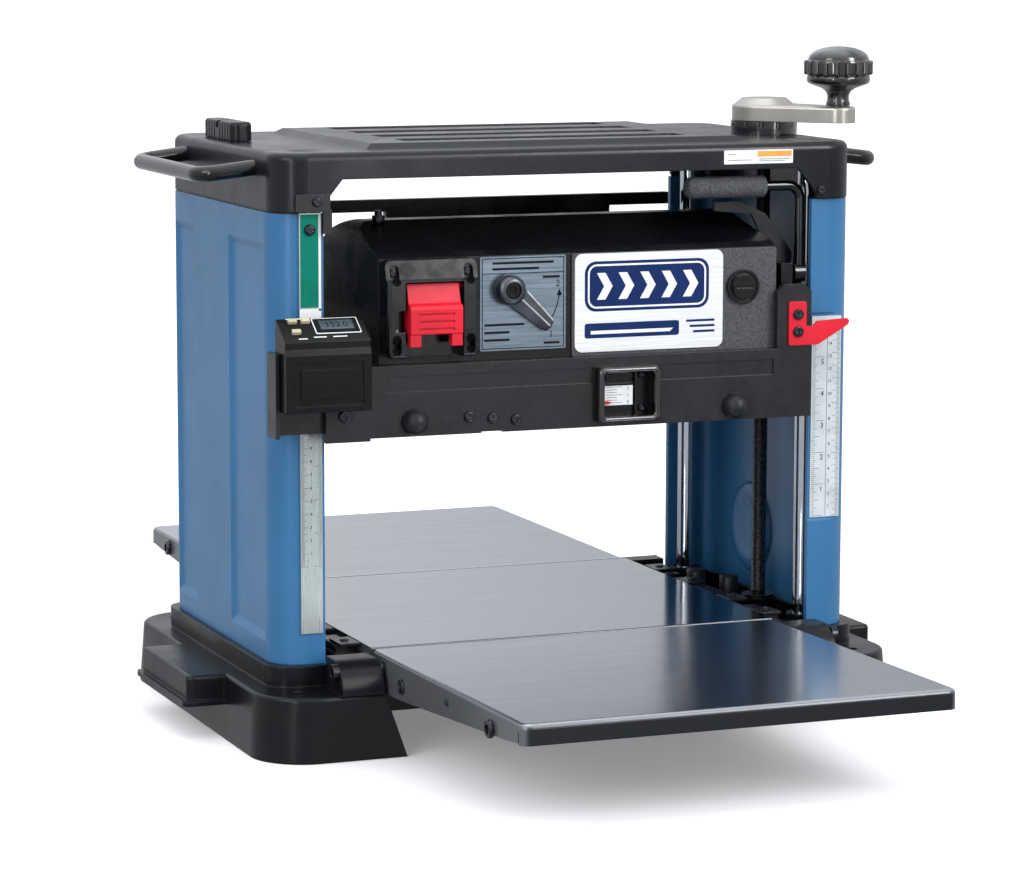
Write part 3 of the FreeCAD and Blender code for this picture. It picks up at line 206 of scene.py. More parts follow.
M = {
    "black_casting": Surface("black_casting", hexcolor("121317"), 0.3).mottle(35, 0.14).soft_edges()
        .wear(hexcolor("4a4c52"), 0.25).gloss(50, 0.07).bump(1400, 0.3, 0.0001).done(specular=0.3),
    "black_steel": Surface("black_steel", hexcolor("17181b"), 0.3).mottle(28, 0.15).soft_edges(0.0006)
        .wear(hexcolor("5a5c60"), 0.3).gloss(90, 0.06).bump(1100, 0.3, 0.0001).done(specular=0.4),
    "textured_steel": Surface("textured_steel", hexcolor("3a3a3e"), 0.5).mottle(600, 0.35)
        .soft_edges(0.0005).wear(hexcolor("77787c"), 0.3).gloss(300, 0.1).bump(900, 0.55, 0.0002).done(),
    "black_plastic": Surface("black_plastic", hexcolor("0b0c0f"), 0.27).mottle(30, 0.12).soft_edges(0.001)
        .wear(hexcolor("3a3c42"), 0.2).gloss(45, 0.06).bump(1300, 0.35, 0.0001).done(specular=0.3),
    "cover_black": Surface("cover_black", hexcolor("13151a"), 0.27).mottle(18, 0.12).soft_edges(0.0015)
        .wear(hexcolor("44464c"), 0.2).gloss(30, 0.06).bump(1000, 0.22, 0.0001).done(specular=0.3),
    "gloss_black": Surface("gloss_black", hexcolor("07080a"), 0.16).mottle(40, 0.15).soft_edges(0.0008)
        .gloss(120, 0.05).bump(350, 0.08, 0.0001).done(coat=0.4, coat_rough=0.05, specular=0.35),
    "case_black": Surface("case_black", hexcolor("07080a"), 0.24).mottle(40, 0.15).soft_edges(0.0008)
        .gloss(120, 0.05).bump(350, 0.1, 0.0001).done(specular=0.2),
    "knob_black": Surface("knob_black", hexcolor("101213"), 0.2).mottle(40, 0.1).soft_edges(0.0008)
        .gloss(120, 0.05).bump(350, 0.05, 0.0001).done(coat=1.0, coat_rough=0.05),
    "foot_black": Surface("foot_black", hexcolor("0f1013"), 0.28).mottle(20, 0.16).soft_edges(0.002)
        .wear(hexcolor("3c3e42"), 0.2).gloss(25, 0.08).bump(700, 0.3, 0.00012).done(specular=0.24),
    "blue_plastic": Surface("blue_plastic", hexcolor("306a98"), 0.3).mottle(9, 0.04).soft_edges(0.0015)
        .wear(hexcolor("7aa0cf"), 0.3, 60).gloss(25, 0.04).bump(1500, 0.25, 0.00008).done(specular=0.45),
    "table_steel": sheet_steel("table_steel", 0.12),
    "extension_steel": sheet_steel("extension_steel", 0.22),
    "chrome": Surface("chrome", hexcolor("c6c9ce"), 0.07, 1.0).mottle(30, 0.05).gloss(60, 0.035)
        .bump(300, 0.04, 0.00005).done(),
    "steel": Surface("steel", hexcolor("a0a2a8"), 0.28, 1.0).mottle(60, 0.12).soft_edges(0.0004)
        .gloss(120, 0.09).bump(500, 0.12, 0.0001).done(),
    # The screws' pale rims are partly wear and partly painted highlights.
    "dark_screw": Surface("dark_screw", hexcolor("303136"), 0.28, 0.85).mottle(120, 0.2).soft_edges(0.0005)
        .wear(hexcolor("a2a4aa"), 0.7, 400).gloss(200, 0.08).bump(800, 0.15, 0.0001).done(),
    "brushed_plate": Surface("brushed_plate", hexcolor("e2e4e6"), 0.34, 0.25).mottle(30, 0.05, (1, 1, 34))
        .gloss(40, 0.08, (1, 1, 40)).bump(90, 0.14, 0.00006, (1, 1, 60)).done(anisotropic=0.4),
    "speed_brushed": Surface("speed_brushed", hexcolor("7e8d99"), 0.34, 0.9).mottle(30, 0.12, (1, 1, 34))
        .gloss(40, 0.1, (1, 1, 40)).bump(90, 0.18, 0.00006, (1, 1, 60)).done(anisotropic=0.4),
    "cast_aluminium": Surface("cast_aluminium", hexcolor("b4b1aa"), 0.32, 0.9).mottle(40, 0.03)
        .soft_edges(0.001).wear(hexcolor("d0cec9"), 0.3).gloss(90, 0.04).bump(900, 0.08, 0.00008).done(),
    "lever_grey": Surface("lever_grey", hexcolor("55575e"), 0.3, 0.9).mottle(80, 0.12).soft_edges(0.0006)
        .wear(hexcolor("a2a4aa"), 0.5).gloss(120, 0.06).bump(600, 0.15, 0.0001).done(),
    # A pale material for strips that stand for the lever's highlights: painted highlight.
    "painted_highlight": Surface("painted_highlight", hexcolor("d4d6da"), 0.3, 0.6).mottle(120, 0.06)
        .gloss(160, 0.06).bump(700, 0.12, 0.00006).done(),
    "red_plastic": Surface("red_plastic", hexcolor("c8152b"), 0.42).mottle(22, 0.07).soft_edges(0.0008)
        .wear(hexcolor("e04a56"), 0.3).gloss(60, 0.05).bump(1200, 0.25, 0.0001).done(specular=0.3),
    "rubber": Surface("rubber", hexcolor("1c1d21"), 0.4).mottle(60, 0.14).soft_edges(0.0006)
        .gloss(90, 0.07).bump(900, 0.5, 0.00015).done(specular=0.3),
    "foam": Surface("foam", hexcolor("47484c"), 0.85).mottle(900, 0.35).gloss(400, 0.05)
        .bump(1800, 0.7, 0.0002, (1, 1, 1), 4.0).done(specular=0.25),
    "brass": Surface("brass", hexcolor("b08a48"), 0.3, 1.0).mottle(80, 0.12).gloss(120, 0.08)
        .bump(500, 0.12, 0.0001).done(),
    "ruler_white": Surface("ruler_white", hexcolor("c6cdd0"), 0.4, 0.2).mottle(60, 0.05).gloss(80, 0.06)
        .bump(300, 0.08, 0.00005, (1, 1, 20)).done(),
    "scale_steel": Surface("scale_steel", hexcolor("a9b2b0"), 0.34, 0.7).mottle(50, 0.07, (30, 1, 1))
        .gloss(60, 0.08, (30, 1, 1)).bump(90, 0.12, 0.00005, (40, 1, 1)).done(),
    "key_cream": Surface("key_cream", hexcolor("b8b094"), 0.5).mottle(90, 0.08).soft_edges(0.0005)
        .gloss(90, 0.05).bump(900, 0.2, 0.0001).done(),
    "green": Surface("green", hexcolor("007460"), 0.5).mottle(50, 0.06).gloss(60, 0.06)
        .bump(500, 0.1, 0.00005).done(specular=0.12),
    "white_print": Surface("white_print", hexcolor("e2e4e4"), 0.42).mottle(80, 0.03).gloss(80, 0.05)
        .bump(400, 0.06, 0.00005).done(),
    "navy_print": Surface("navy_print", hexcolor("0a2558"), 0.5).mottle(70, 0.08).gloss(80, 0.05)
        .bump(400, 0.06, 0.00005).done(specular=0.15),
    "black_print": Surface("black_print", hexcolor("0e0f11"), 0.5).mottle(90, 0.15).gloss(80, 0.05)
        .bump(400, 0.06, 0.00005).done(specular=0.15),
    "grey_print": Surface("grey_print", hexcolor("777a7c"), 0.45).mottle(90, 0.1).gloss(80, 0.05)
        .bump(400, 0.06, 0.00005).done(),
    "orange_print": Surface("orange_print", hexcolor("e09a3c"), 0.42).mottle(90, 0.05).gloss(80, 0.05)
        .bump(400, 0.06, 0.00005).done(),
    "lcd": Surface("lcd", hexcolor("3f4b54"), 0.12).mottle(60, 0.12).gloss(60, 0.04).bump(300, 0.03, 0.00005)
        .done(coat=0.6, coat_rough=0.04),
}

# Which CAD nodes wear each material.
FINISH = {
    "foot_black": ("base_casting", "right_foot", "left_foot"),
    "table_steel": ("main_table",),
    "black_steel": ("table_rails", "top_plate", "strip_bracket", "front_apron", "dro_bracket",
                    "lock_stay_bar"),
    "chrome": ("guide_posts",),
    "blue_plastic": ("right_column_cover", "left_column_cover"),
    "dark_screw": ("drive_chain", "screw_bearings", "frame_fasteners", "right_lead_screw",
                   "left_lead_screw", "carriage_screws"),
    "cover_black": ("top_cover",),
    "gloss_black": ("left_carry_handle", "right_carry_handle", "brush_cap", "switch_box", "gauge_frame",
                    "lock_lever"),
    "knob_black": ("crank_collar", "crank_knob"),
    "scale_steel": ("left_scale_strip",),
    "ruler_white": ("right_ruler",),
    "cast_aluminium": ("crank_arm", "feed_gearbox"),
    "black_plastic": ("depth_stop_knob", "drive_housing", "dust_hood"),
    "extension_steel": ("infeed_extension", "outfeed_extension"),
    "black_casting": ("head_casting",),
    "steel": ("post_bushings", "motor_body", "cutterhead", "motor_armature", "kickback_pawls"),
    "brass": ("lead_nuts",),
    "textured_steel": ("right_cover_plate",),
    "brushed_plate": ("name_plate",),
    "speed_brushed": ("speed_plate",),
    "rubber": ("apron_bumpers", "drive_belt", "infeed_roller", "outfeed_roller"),
    "case_black": ("dro_body",),
    "red_plastic": ("height_pointer", "switch_paddle", "gauge_pointer"),
    "lever_grey": ("speed_lever",),
    "foam": ("lock_grip",),
    "key_cream": ("dro_key_front", "dro_key_left", "dro_key_right"),
}
for finish, node_names in FINISH.items():
    for node_name in node_names:
        mesh = NODES[node_name].data
        mesh.materials.clear()
        mesh.materials.append(M[finish])


# ---------------------------------------------------------------- mesh helpers
def piece(name, shape, material, body, bevel=0.0, segments=2, angle=35):
    """Makes a bmesh in millimetres into an object that rides on a CAD body."""
    bmesh.ops.recalc_face_normals(shape, faces=shape.faces)
    bmesh.ops.scale(shape, vec=(MM, MM, MM), verts=shape.verts)
    mesh = bpy.data.meshes.new(name)
    shape.to_mesh(mesh)
    shape.free()
    mesh.shade_smooth()
    mesh.set_sharp_from_angle(angle=math.radians(angle))
    mesh.materials.append(M[material])
    obj = bpy.data.objects.new(name, mesh)
    bpy.context.scene.collection.objects.link(obj)
    if bevel:
        modifier = obj.modifiers.new("bevel", "BEVEL")
        modifier.width = bevel * MM
        modifier.segments = segments
        modifier.limit_method = "ANGLE"
        modifier.angle_limit = math.radians(30)
        modifier.harden_normals = True
    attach(obj, body)
    return obj


def add_faces(shape, rings):
    """Skins rings of points, all with the same count, into a tube with closed ends."""
    rows = [[shape.verts.new(p) for p in ring] for ring in rings]
    count = len(rows[0])
    for low, high in zip(rows, rows[1:]):
        for i in range(count):
            j = (i + 1) % count
            shape.faces.new((low[i], low[j], high[j], high[i]))
    shape.faces.new(list(reversed(rows[0])))
    shape.faces.new(rows[-1])


def add_loop(shape, rings):
    """Skins rings of points round and round, so that the last ring joins the first."""
    rows = [[shape.verts.new(p) for p in ring] for ring in rings]
    for low, high in zip(rows, rows[1:] + rows[:1]):
        for i in range(len(low)):
            j = (i + 1) % len(low)
            shape.faces.new((low[i], low[j], high[j], high[i]))


def add_box(shape, x0, x1, y0, y1, z0, z1):
    ring = ((x0, y0), (x1, y0), (x1, y1), (x0, y1))
    add_faces(shape, [[(x, y, z) for x, y in ring] for z in (z0, z1)])


def front_slab(shape, outline, back, front):
    """A flat shape seen from the operator's side: outline of (x, z), between two depths in y."""
    add_faces(shape, [[(x, y, z) for x, z in outline] for y in (back, front)])


def rounded_outline(x0, x1, z0, z1, radius, steps=6):
    points = []
    for cx, cz, start in ((x1 - radius, z1 - radius, 0), (x0 + radius, z1 - radius, 90),
                          (x0 + radius, z0 + radius, 180), (x1 - radius, z0 + radius, 270)):
        for i in range(steps + 1):
            a = math.radians(start + 90 * i / steps)
            points.append((cx + radius * math.cos(a), cz + radius * math.sin(a)))
    return points


def turned(shape, place, along, profile, segments=40, ribs=0, rib_depth=0.0, rib_span=(0, 0)):
    """A lathe-turned form: profile of (height, radius) along a direction, with optional ribs round it."""
    turn = Vector(along).to_track_quat("Z", "Y").to_matrix().to_4x4()
    move = Matrix.Translation(Vector(place)) @ turn
    rings = []
    for height, radius in profile:
        ring = []
        for i in range(segments):
            a = 2 * math.pi * i / segments
            r = radius
            if ribs and rib_span[0] <= height <= rib_span[1]:
                r += rib_depth * max(0.0, math.cos(ribs * a)) ** 0.5
            ring.append(move @ Vector((r * math.cos(a), r * math.sin(a), height)))
        rings.append(ring)
    add_faces(shape, rings)


def add_text(shape, text, size, place, right=(1, 0, 0), up=(0, 0, 1), align="CENTER"):
    """Adds flat numerals whose reading direction is right and whose tops point up."""
    curve = bpy.data.curves.new("numeral", "FONT")
    curve.body = text
    curve.size = size
    curve.align_x = align
    curve.align_y = "CENTER"
    curve.extrude = 0.03
    holder = bpy.data.objects.new("numeral", curve)
    bpy.context.scene.collection.objects.link(holder)
    bpy.context.view_layer.update()
    mesh = bpy.data.meshes.new_from_object(holder.evaluated_get(bpy.context.evaluated_depsgraph_get()))
    x, y = Vector(right), Vector(up)
    basis = Matrix((x, y, x.cross(y))).transposed().to_4x4()
    mesh.transform(Matrix.Translation(Vector(place)) @ basis)
    shape.from_mesh(mesh)
    bpy.data.objects.remove(holder)
    bpy.data.curves.remove(curve)
    bpy.data.meshes.remove(mesh)


def cross_screw(shape, place, along, radius, height):
    """A pan head with a cross recess: a domed rim round four quarter pads."""
    shares = ((0, 1), (0.45, 1), (0.75, 0.93), (0.95, 0.78), (1, 0.6), (1, 0.5), (0.55, 0.45))
    turned(shape, place, along, [(height * up, radius * out) for up, out in shares], 32)
    turn = Vector(along).to_track_quat("Z", "Y").to_matrix()
    wide, gap = radius * 0.42, radius * 0.11
    for sx in (-1, 1):
        for sy in (-1, 1):
            corners = [(gap, gap), (wide, gap), (wide * 0.75, wide * 0.75), (gap, wide)]
            outline = [(sx * a, sy * b) for a, b in corners]
            add_faces(shape, [[Vector(place) + turn @ Vector((a, b, h)) for a, b in outline]
                              for h in (height * 0.5, height)])


# ---------------------------------------------------------------- scales and labels
def right_ruler_marks():
    """Inch marks with numerals on the left edge and millimetre marks on the right."""
    marks = bmesh.new()
    front, back = RULER_FACE - 0.08, RULER_FACE
    for i in range(97):
        z = RULER_ZERO + INCH * i / 16
        long = 10.5 if i % 16 == 0 else 6.5 if i % 8 == 0 else 4.5 if i % 4 == 0 else 2.6
        add_box(marks, 205.0, 205.0 + long, front, back, z - 0.13, z + 0.13)
    for i in range(153):
        z = RULER_ZERO + i
        long = 6.5 if i % 10 == 0 else 4.6 if i % 5 == 0 else 2.8
        add_box(marks, 228.8 - long, 228.8, front, back, z - 0.11, z + 0.11)
    add_box(marks, 217.4, 217.7, front, back, RULER_ZERO, RULER_ZERO + 154)
    for i in range(1, 7):
        add_text(marks, str(i), 6.0, (213.6, front, RULER_ZERO + INCH * i - 4.0))
    for i in range(1, 16):
        add_text(marks, str(i), 3.6, (220.0, front, RULER_ZERO + 10 * i - 2.6))
    piece("right_ruler_marks", marks, "black_print", "frame")


def left_strip_marks():
    """Millimetre and inch marks, with a green label and a pale border above them."""
    marks = bmesh.new()
    front, back = STRIP_FACE - 0.08, STRIP_FACE
    for i in range(165):
        z = STRIP_ZERO + i
        long = 5.5 if i % 10 == 0 else 4.0 if i % 5 == 0 else 2.4
        add_box(marks, -220.9, -220.9 + long, front, back, z - 0.11, z + 0.11)
    for i in range(105):
        z = STRIP_ZERO + INCH * i / 16
        long = 5.5 if i % 16 == 0 else 4.0 if i % 8 == 0 else 2.4
        add_box(marks, -204.9 - long, -204.9, front, back, z - 0.12, z + 0.12)
    for i in range(1, 17):
        add_text(marks, str(i), 3.4, (-213.2, front, STRIP_ZERO + 10 * i))
    piece("left_strip_marks", marks, "black_print", "frame")
    label = bmesh.new()
    front_slab(label, rounded_outline(-220.6, -206.6, 336, 405.5, 0.6), STRIP_FACE, STRIP_FACE - 0.25)
    piece("left_strip_label", label, "green", "frame")
    edge = bmesh.new()
    for x0, z0, z1 in ((-206.4, 333.5, 406), (-221.3, 323, 335)):
        add_box(edge, x0, -204.5, STRIP_FACE - 0.2, STRIP_FACE, z0, z1)
    piece("left_strip_border", edge, "white_print", "frame")
    screw = bmesh.new()
    cross_screw(screw, (-213.4, STRIP_FACE - 0.2, 394), (0, -1, 0), 4.2, 2.6)
    piece("left_strip_screw", screw, "dark_screw", "frame")


def cover_label():
    """A pale label on the top cover, with an orange band and ruled lines in place of words."""
    label = bmesh.new()
    face = TOP_LABEL_FACE - 0.25
    front_slab(label, rounded_outline(124, 183, 435.2, 446, 0.8), TOP_LABEL_FACE, face)
    piece("cover_label", label, "white_print", "frame")
    band = bmesh.new()
    add_box(band, 152.5, 181.8, face - 0.07, face, 440.6, 444.9)
    piece("cover_label_band", band, "orange_print", "frame")
    lines = bmesh.new()
    for x0, x1, z in ((154, 180, 438.8), (154, 176, 437.3), (127, 134, 442.6), (127, 147, 438.2)):
        add_box(lines, x0, x1, face - 0.07, face, z - 0.3, z + 0.3)
    piece("cover_label_lines", lines, "grey_print", "frame")


def name_plate_print():
    """A plain emblem: a navy field with five chevrons, and a band below it."""
    face = NAME_PLATE_FACE
    ink, light = face - 0.12, face - 0.2
    navy = bmesh.new()
    front_slab(navy, rounded_outline(3, 107, 326, 364.5, 9), face, ink)
    front_slab(navy, rounded_outline(3, 82, 305.5, 317, 2), face, ink)
    piece("emblem_field", navy, "navy_print", "carriage")
    light_parts = bmesh.new()
    outer = rounded_outline(5.5, 104.5, 328.3, 362.2, 7.2)
    inner = rounded_outline(6.9, 103.1, 329.7, 360.8, 6)
    add_loop(light_parts, [[(x, y, z) for x, z in outline]
                           for outline, y in ((outer, ink), (outer, light), (inner, light), (inner, ink))])
    for i in range(5):
        cx = 19 + 18 * i
        chevron = ((-6, 335), (1, 335), (7, 345.2), (1, 355.5), (-6, 355.5), (0, 345.2))
        front_slab(light_parts, [(cx + x, z) for x, z in chevron], ink, light)
    front_slab(light_parts, [(8, 308.6), (74, 308.6), (77, 311.2), (8, 311.2)], ink, light)
    piece("emblem_light", light_parts, "white_print", "carriage")
    marks = bmesh.new()
    for i in range(3):
        add_box(marks, 88 + 3 * i, 112, ink, face, 315.2 - 4.2 * i, 317 - 4.2 * i)
    piece("emblem_bars", marks, "navy_print", "carriage")


def speed_plate_print():
    """The two feed speeds as numerals with an arc between them, and a ruled border."""
    face = SPEED_PLATE_FACE
    marks = bmesh.new()
    for box in ((-80.6, -13.4, 300.2, 300.9), (-80.6, -13.4, 368.6, 369.3), (-80.6, -79.9, 300.2, 369.3),
                (-14.1, -13.4, 300.2, 369.3), (-80.6, -13.4, 357.2, 357.8)):
        add_box(marks, box[0], box[1], face - 0.1, face, box[2], box[3])
    for x0, x1, z in ((-72, -22, 365.4), (-72, -34, 361.0), (-78.5, -46, 318.6), (-78.5, -58, 312.8),
                      (-78.5, -58, 307.0), (-31, -17, 354.0), (-30, -17, 303.6)):
        add_box(marks, x0, x1, face - 0.1, face, z - 0.9, z + 0.9)
    rings = []
    for i in range(17):
        a = math.radians(-32 + 28 * i / 16)
        rings.append([(SPEED_X + r * math.cos(a), y, SPEED_Z + r * math.sin(a)) for r, y in
                      ((42.6, face), (43.4, face), (43.4, face - 0.1), (42.6, face - 0.1))])
    add_faces(marks, rings)
    front_slab(marks, [(-17.4, 344.6), (-19.4, 339.4), (-14.8, 339.6)], face, face - 0.1)
    front_slab(marks, [(-27.0, 318.6), (-25.2, 324.4), (-22.0, 321.4)], face, face - 0.1)
    add_text(marks, "2", 7.5, (-18.6, face - 0.08, 348.6))
    add_text(marks, "1", 7.5, (-24.0, face - 0.08, 309.8))
    piece("speed_plate_print", marks, "black_print", "carriage")


def gauge_card():
    """Inside the gauge's window: a backing, a card with numerals, ribs and three screws."""
    face = GAUGE_BACK_FACE
    back = bmesh.new()
    add_box(back, 10, 60, face, face + 0.9, 242, 284)
    piece("gauge_backing", back, "black_plastic", "carriage")
    card = bmesh.new()
    add_box(card, 18, 42, face - 2.3, face - 1.9, 253.5, 268.5)
    piece("gauge_card", card, "white_print", "carriage")
    marks = bmesh.new()
    for i in range(7):
        z = 255.5 + 2 * i
        add_box(marks, 20, 33 if i % 3 == 0 else 29, face - 2.4, face - 2.3, z - 0.16, z + 0.16)
    for i, text in enumerate(("0", "1", "2")):
        add_text(marks, text, 3.4, (38, face - 2.35, 255.7 + 5.2 * i))
    piece("gauge_marks", marks, "black_print", "carriage")
    inside = bmesh.new()
    add_box(inside, 43.4, 45.2, face - 3.5, face, 243, 283)
    add_box(inside, 15.5, 43.4, face - 1.7, face, 269.6, 270.6)
    piece("gauge_ribs", inside, "gloss_black", "carriage", bevel=0.2)
    screws = bmesh.new()
    for x, z in ((22, 275.5), (50, 276), (50, 250.5)):
        cross_screw(screws, (x, face, z), (0, -1, 0), 2.8, 2.0)
    piece("gauge_screws", screws, "dark_screw", "carriage")


def gauge_rim():
    """A rounded bead round the gauge's window, standing out from the frame's front face."""
    face, buried = -166.8, 0.4
    outer = rounded_outline(9.3, 60.7, 241.8, 284.2, 5.0, 8)
    inner = rounded_outline(14.3, 55.7, 246.3, 279.7, 2.5, 8)
    bead = ((0.0, 0.0), (0.08, 1.0), (0.3, 1.8), (0.5, 2.0), (0.7, 1.8), (0.92, 1.0), (1.0, -buried))
    rings = []
    for share, lift in bead:
        rings.append([(ax + (bx - ax) * share, face - lift, az + (bz - az) * share)
                      for (ax, az), (bx, bz) in zip(outer, inner)])
    rings.append([(x, face + buried, z) for x, z in inner])
    rings.append([(x, face + buried, z) for x, z in outer])
    rim = bmesh.new()
    add_loop(rim, rings)
    piece("gauge_rim", rim, "knob_black", "carriage", angle=60)


def dro_display():
    """The read-out's screen, set in a pale border on the sloping face."""
    slope = math.atan2(16.0, 23.5)
    right = Vector((1, 0, 0))
    up = Vector((0, math.cos(slope), math.sin(slope)))
    out = Vector((0, -math.sin(slope), math.cos(slope)))
    corner = Vector((0, -184, 316))

    def at(x, v, lift):
        return corner + right * x + up * v + out * lift

    def pad(shape, x0, x1, v0, v1, low, high, radius=1.2):
        outline = rounded_outline(x0, x1, v0, v1, radius, 4)
        add_faces(shape, [[at(x, v, lift) for x, v in outline] for lift in (low, high)])

    border = bmesh.new()
    pad(border, -221, -185.5, 8.0, 25.5, -0.3, 0.35)
    piece("dro_border", border, "white_print", "carriage", bevel=0.15)
    mask = bmesh.new()
    pad(mask, -220.2, -186.3, 8.8, 24.7, 0.2, 0.5)
    piece("dro_mask", mask, "black_print", "carriage")
    screen = bmesh.new()
    pad(screen, -216, -190, 12.5, 22.5, 0.4, 0.62, 0.6)
    piece("dro_screen", screen, "lcd", "carriage")
    digits = bmesh.new()
    add_text(digits, "152.0", 8.2, at(-203, 17.5, 0.68), right, up)
    piece("dro_digits", digits, "black_print", "carriage")
    lines = bmesh.new()
    for x0, x1, v in ((-236, -229, 3.2), (-224, -214, 4.6), (-209, -198, 4.6), (-240, -223, 25.8)):
        pad(lines, x0, x1, v - 0.5, v + 0.5, -0.2, 0.12, 0.3)
    piece("dro_lines", lines, "white_print", "carriage")


# ---------------------------------------------------------------- crank knob, screws, chain
def crank_knob():
    """The crank's turned knob, with finger ribs round its widest part."""
    a = math.radians(CRANK_ANGLE)
    x, y = SCREW_X + CRANK_REACH * math.cos(a), SCREW_Y + CRANK_REACH * math.sin(a)
    neck = [(475.6, 5.4), (475.6, 9.4), (477, 9.9), (480, 8.8), (484, 8.7), (487, 10.2), (489.5, 13.5)]
    flare = [(491.5, 19), (493, 23), (494.2, 24.8), (496, 25.4), (498, 25.5), (499.2, 25.2), (499.6, 24.4)]
    ribbed = [(500, 24.6), (500.8, 25.0), (502, 25.1), (506, 25.1), (510, 25.1), (511.4, 25.0), (512, 24.6)]
    crown = [(512.6, 24.3), (513.6, 24.2), (515.6, 23.3), (518, 21.0), (520, 17.6), (521.6, 12.6)]
    crown += [(522.6, 7.0), (523, 0.6)]
    knob = bmesh.new()
    turned(knob, (x, y, 0), (0, 0, 1), neck + flare + ribbed + crown, 288, 18, 2.6, (500.5, 511.6))
    made = piece("crank_grip_knob", knob, "knob_black", "crank_grip", angle=50)
    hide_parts("crank_knob")


def lead_screw(node, x, body, top):
    """A lead screw: a core with a raised thread, plain ends, a hub and a toothed sprocket."""
    pitch, count = INCH / 16, 14
    root, valley, crest = 5.65, 5.4, 6.25
    low, high = 73.0, 431.0
    screw = bmesh.new()
    profile = [(8, 4.2), (8.8, 5.0), (10, 5.0), (10, 12), (23, 12), (23, 5.0), (72, 5.0), (72, root),
               (433, root), (433, 5.0), (top - 0.8, 5.0), (top, 4.2)]
    turned(screw, (x, SCREW_Y, 0), (0, 0, 1), profile, 28)
    rows = []
    for i in range(int((high - low) / pitch) * count + 1):
        a = 2 * math.pi * i / count
        z = low + pitch * i / count
        rows.append([screw.verts.new((x + r * math.cos(a), SCREW_Y + r * math.sin(a), z + pitch * s))
                     for s, r in ((0.1, valley), (0.4, crest), (0.6, crest), (0.9, valley))])
    for before, after in zip(rows, rows[1:]):
        for j in range(3):
            screw.faces.new((before[j], after[j], after[j + 1], before[j + 1]))
    tooth = ((0.0, 21.4), (0.2, 21.8), (0.36, 24.0), (0.44, 25.3), (0.56, 25.3), (0.64, 24.0), (0.8, 21.8))
    teeth = []
    for i in range(16):
        for part, radius in tooth:
            a = 2 * math.pi * (i + part) / 16
            teeth.append((x + radius * math.cos(a), SCREW_Y + radius * math.sin(a)))
    add_faces(screw, [[(px, py, z) for px, py in teeth] for z in (14.2, 17.8)])
    made = piece(node + "_thread", screw, "dark_screw", body)
    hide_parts(node)


def roller_chain():
    """The chain round both sprockets: rollers with inner and outer side plates."""
    radius, half, y0, z0, pitch = 23.6, SCREW_X, SCREW_Y, 16.0, INCH * 3 / 8
    length = 4 * half + 2 * math.pi * radius
    count = 2 * round(length / pitch / 2)

    def bend(x, a):
        return Vector((x + radius * math.cos(a), y0 + radius * math.sin(a), z0))

    def along(distance):
        """The point at a distance round the chain's path, from the front left."""
        distance %= length
        if distance < 2 * half:
            return Vector((-half + distance, y0 - radius, z0))
        distance -= 2 * half
        if distance < math.pi * radius:
            return bend(half, distance / radius - math.pi / 2)
        distance -= math.pi * radius
        if distance < 2 * half:
            return Vector((half - distance, y0 + radius, z0))
        return bend(-half, (distance - 2 * half) / radius + math.pi / 2)

    chain = bmesh.new()
    step = length / count
    roller = [(0, 1.6), (0.9, 1.6), (0.9, 2.5), (4.3, 2.5), (4.3, 1.6), (5.2, 1.6)]
    for i in range(count):
        a, b = along(i * step), along((i + 1) * step)
        turned(chain, a - Vector((0, 0, 2.6)), (0, 0, 1), roller, 10)
        run = (b - a).normalized()
        side = Vector((-run.y, run.x, 0))
        lift = 1.5 if i % 2 else 2.1
        for sign in (-1, 1):
            z = sign * lift
            outline = []
            for end, start in ((b, -90), (a, 90)):
                for k in range(5):
                    t = math.radians(start + 45 * k)
                    outline.append(end + run * (3.3 * math.cos(t)) + side * (3.3 * math.sin(t)))
            add_faces(chain, [[p + Vector((0, 0, z + h)) for p in outline] for h in (-0.28, 0.28)])
    made = piece("roller_chain", chain, "dark_screw", "frame")
    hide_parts("drive_chain")


def speed_lever():
    """The feed-speed lever: a round hub with a dark socket, a ridged, tapering finger, and pale strips along
    the finger's ridge and upper edge as painted highlights.
    """
    centre, face = Vector((SPEED_X, 0, SPEED_Z)), -152.0
    hub = bmesh.new()
    turned(hub, (centre.x, face + 0.2, centre.z), (0, -1, 0),
           [(0, 11.4), (0.6, 12), (6.4, 12), (9.4, 11.4), (11.6, 10.2), (12.8, 8.8), (13.2, 7.4), (13.2, 6.6),
            (9.5, 6.3), (9.5, 0.2)], 48)
    turned(hub, (centre.x, face, centre.z), (0, 1, 0), [(0, 4), (13.6, 4), (14, 3.6)], 24)
    made = piece("speed_lever_hub", hub, "lever_grey", "feed_lever")
    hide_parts("speed_lever")
    socket = bmesh.new()
    turned(socket, (centre.x, face - 9.3, centre.z), (0, -1, 0),
           [(0, 6.2), (2.2, 6.2), (2.2, 3.0), (1.2, 2.6), (1.2, 0.2)], 32)
    piece("speed_lever_socket", socket, "case_black", "feed_lever")

    along, across = Vector((0.75, 0, -0.661)), Vector((0.661, 0, 0.75))

    def point(distance, side, height):
        return centre + along * distance + across * side + Vector((0, face - 0.6 - height, 0))

    finger = bmesh.new()
    rows = ((7.5, 8.6, 9.6), (11, 8.2, 9.6), (30, 6.6, 8.2), (42.5, 5.4, 6.6), (44.6, 4.2, 5.2))
    add_faces(finger, [[point(at, side * half, height) for side, height in
                        ((-1, 2), (1, 2), (1, top * 0.55), (0.12, top), (-0.12, top), (-1, top * 0.4))]
                       for at, half, top in rows])
    piece("speed_lever_finger", finger, "lever_grey", "feed_lever", bevel=0.3)
    # Pale strips along the finger's ridge and upper edge: painted highlights.
    highlight_strips = bmesh.new()
    for side, share in ((0.0, 1.0), (0.97, 0.58)):
        add_faces(highlight_strips, [[point(at, side * half + w, top * share + h)
                            for w, h in ((-0.9, -0.6), (0.9, -0.6), (0.45, 0.45), (-0.45, 0.45))]
                           for at, half, top in rows[1:4]])
    piece("speed_lever_highlights", highlight_strips, "painted_highlight", "feed_lever")


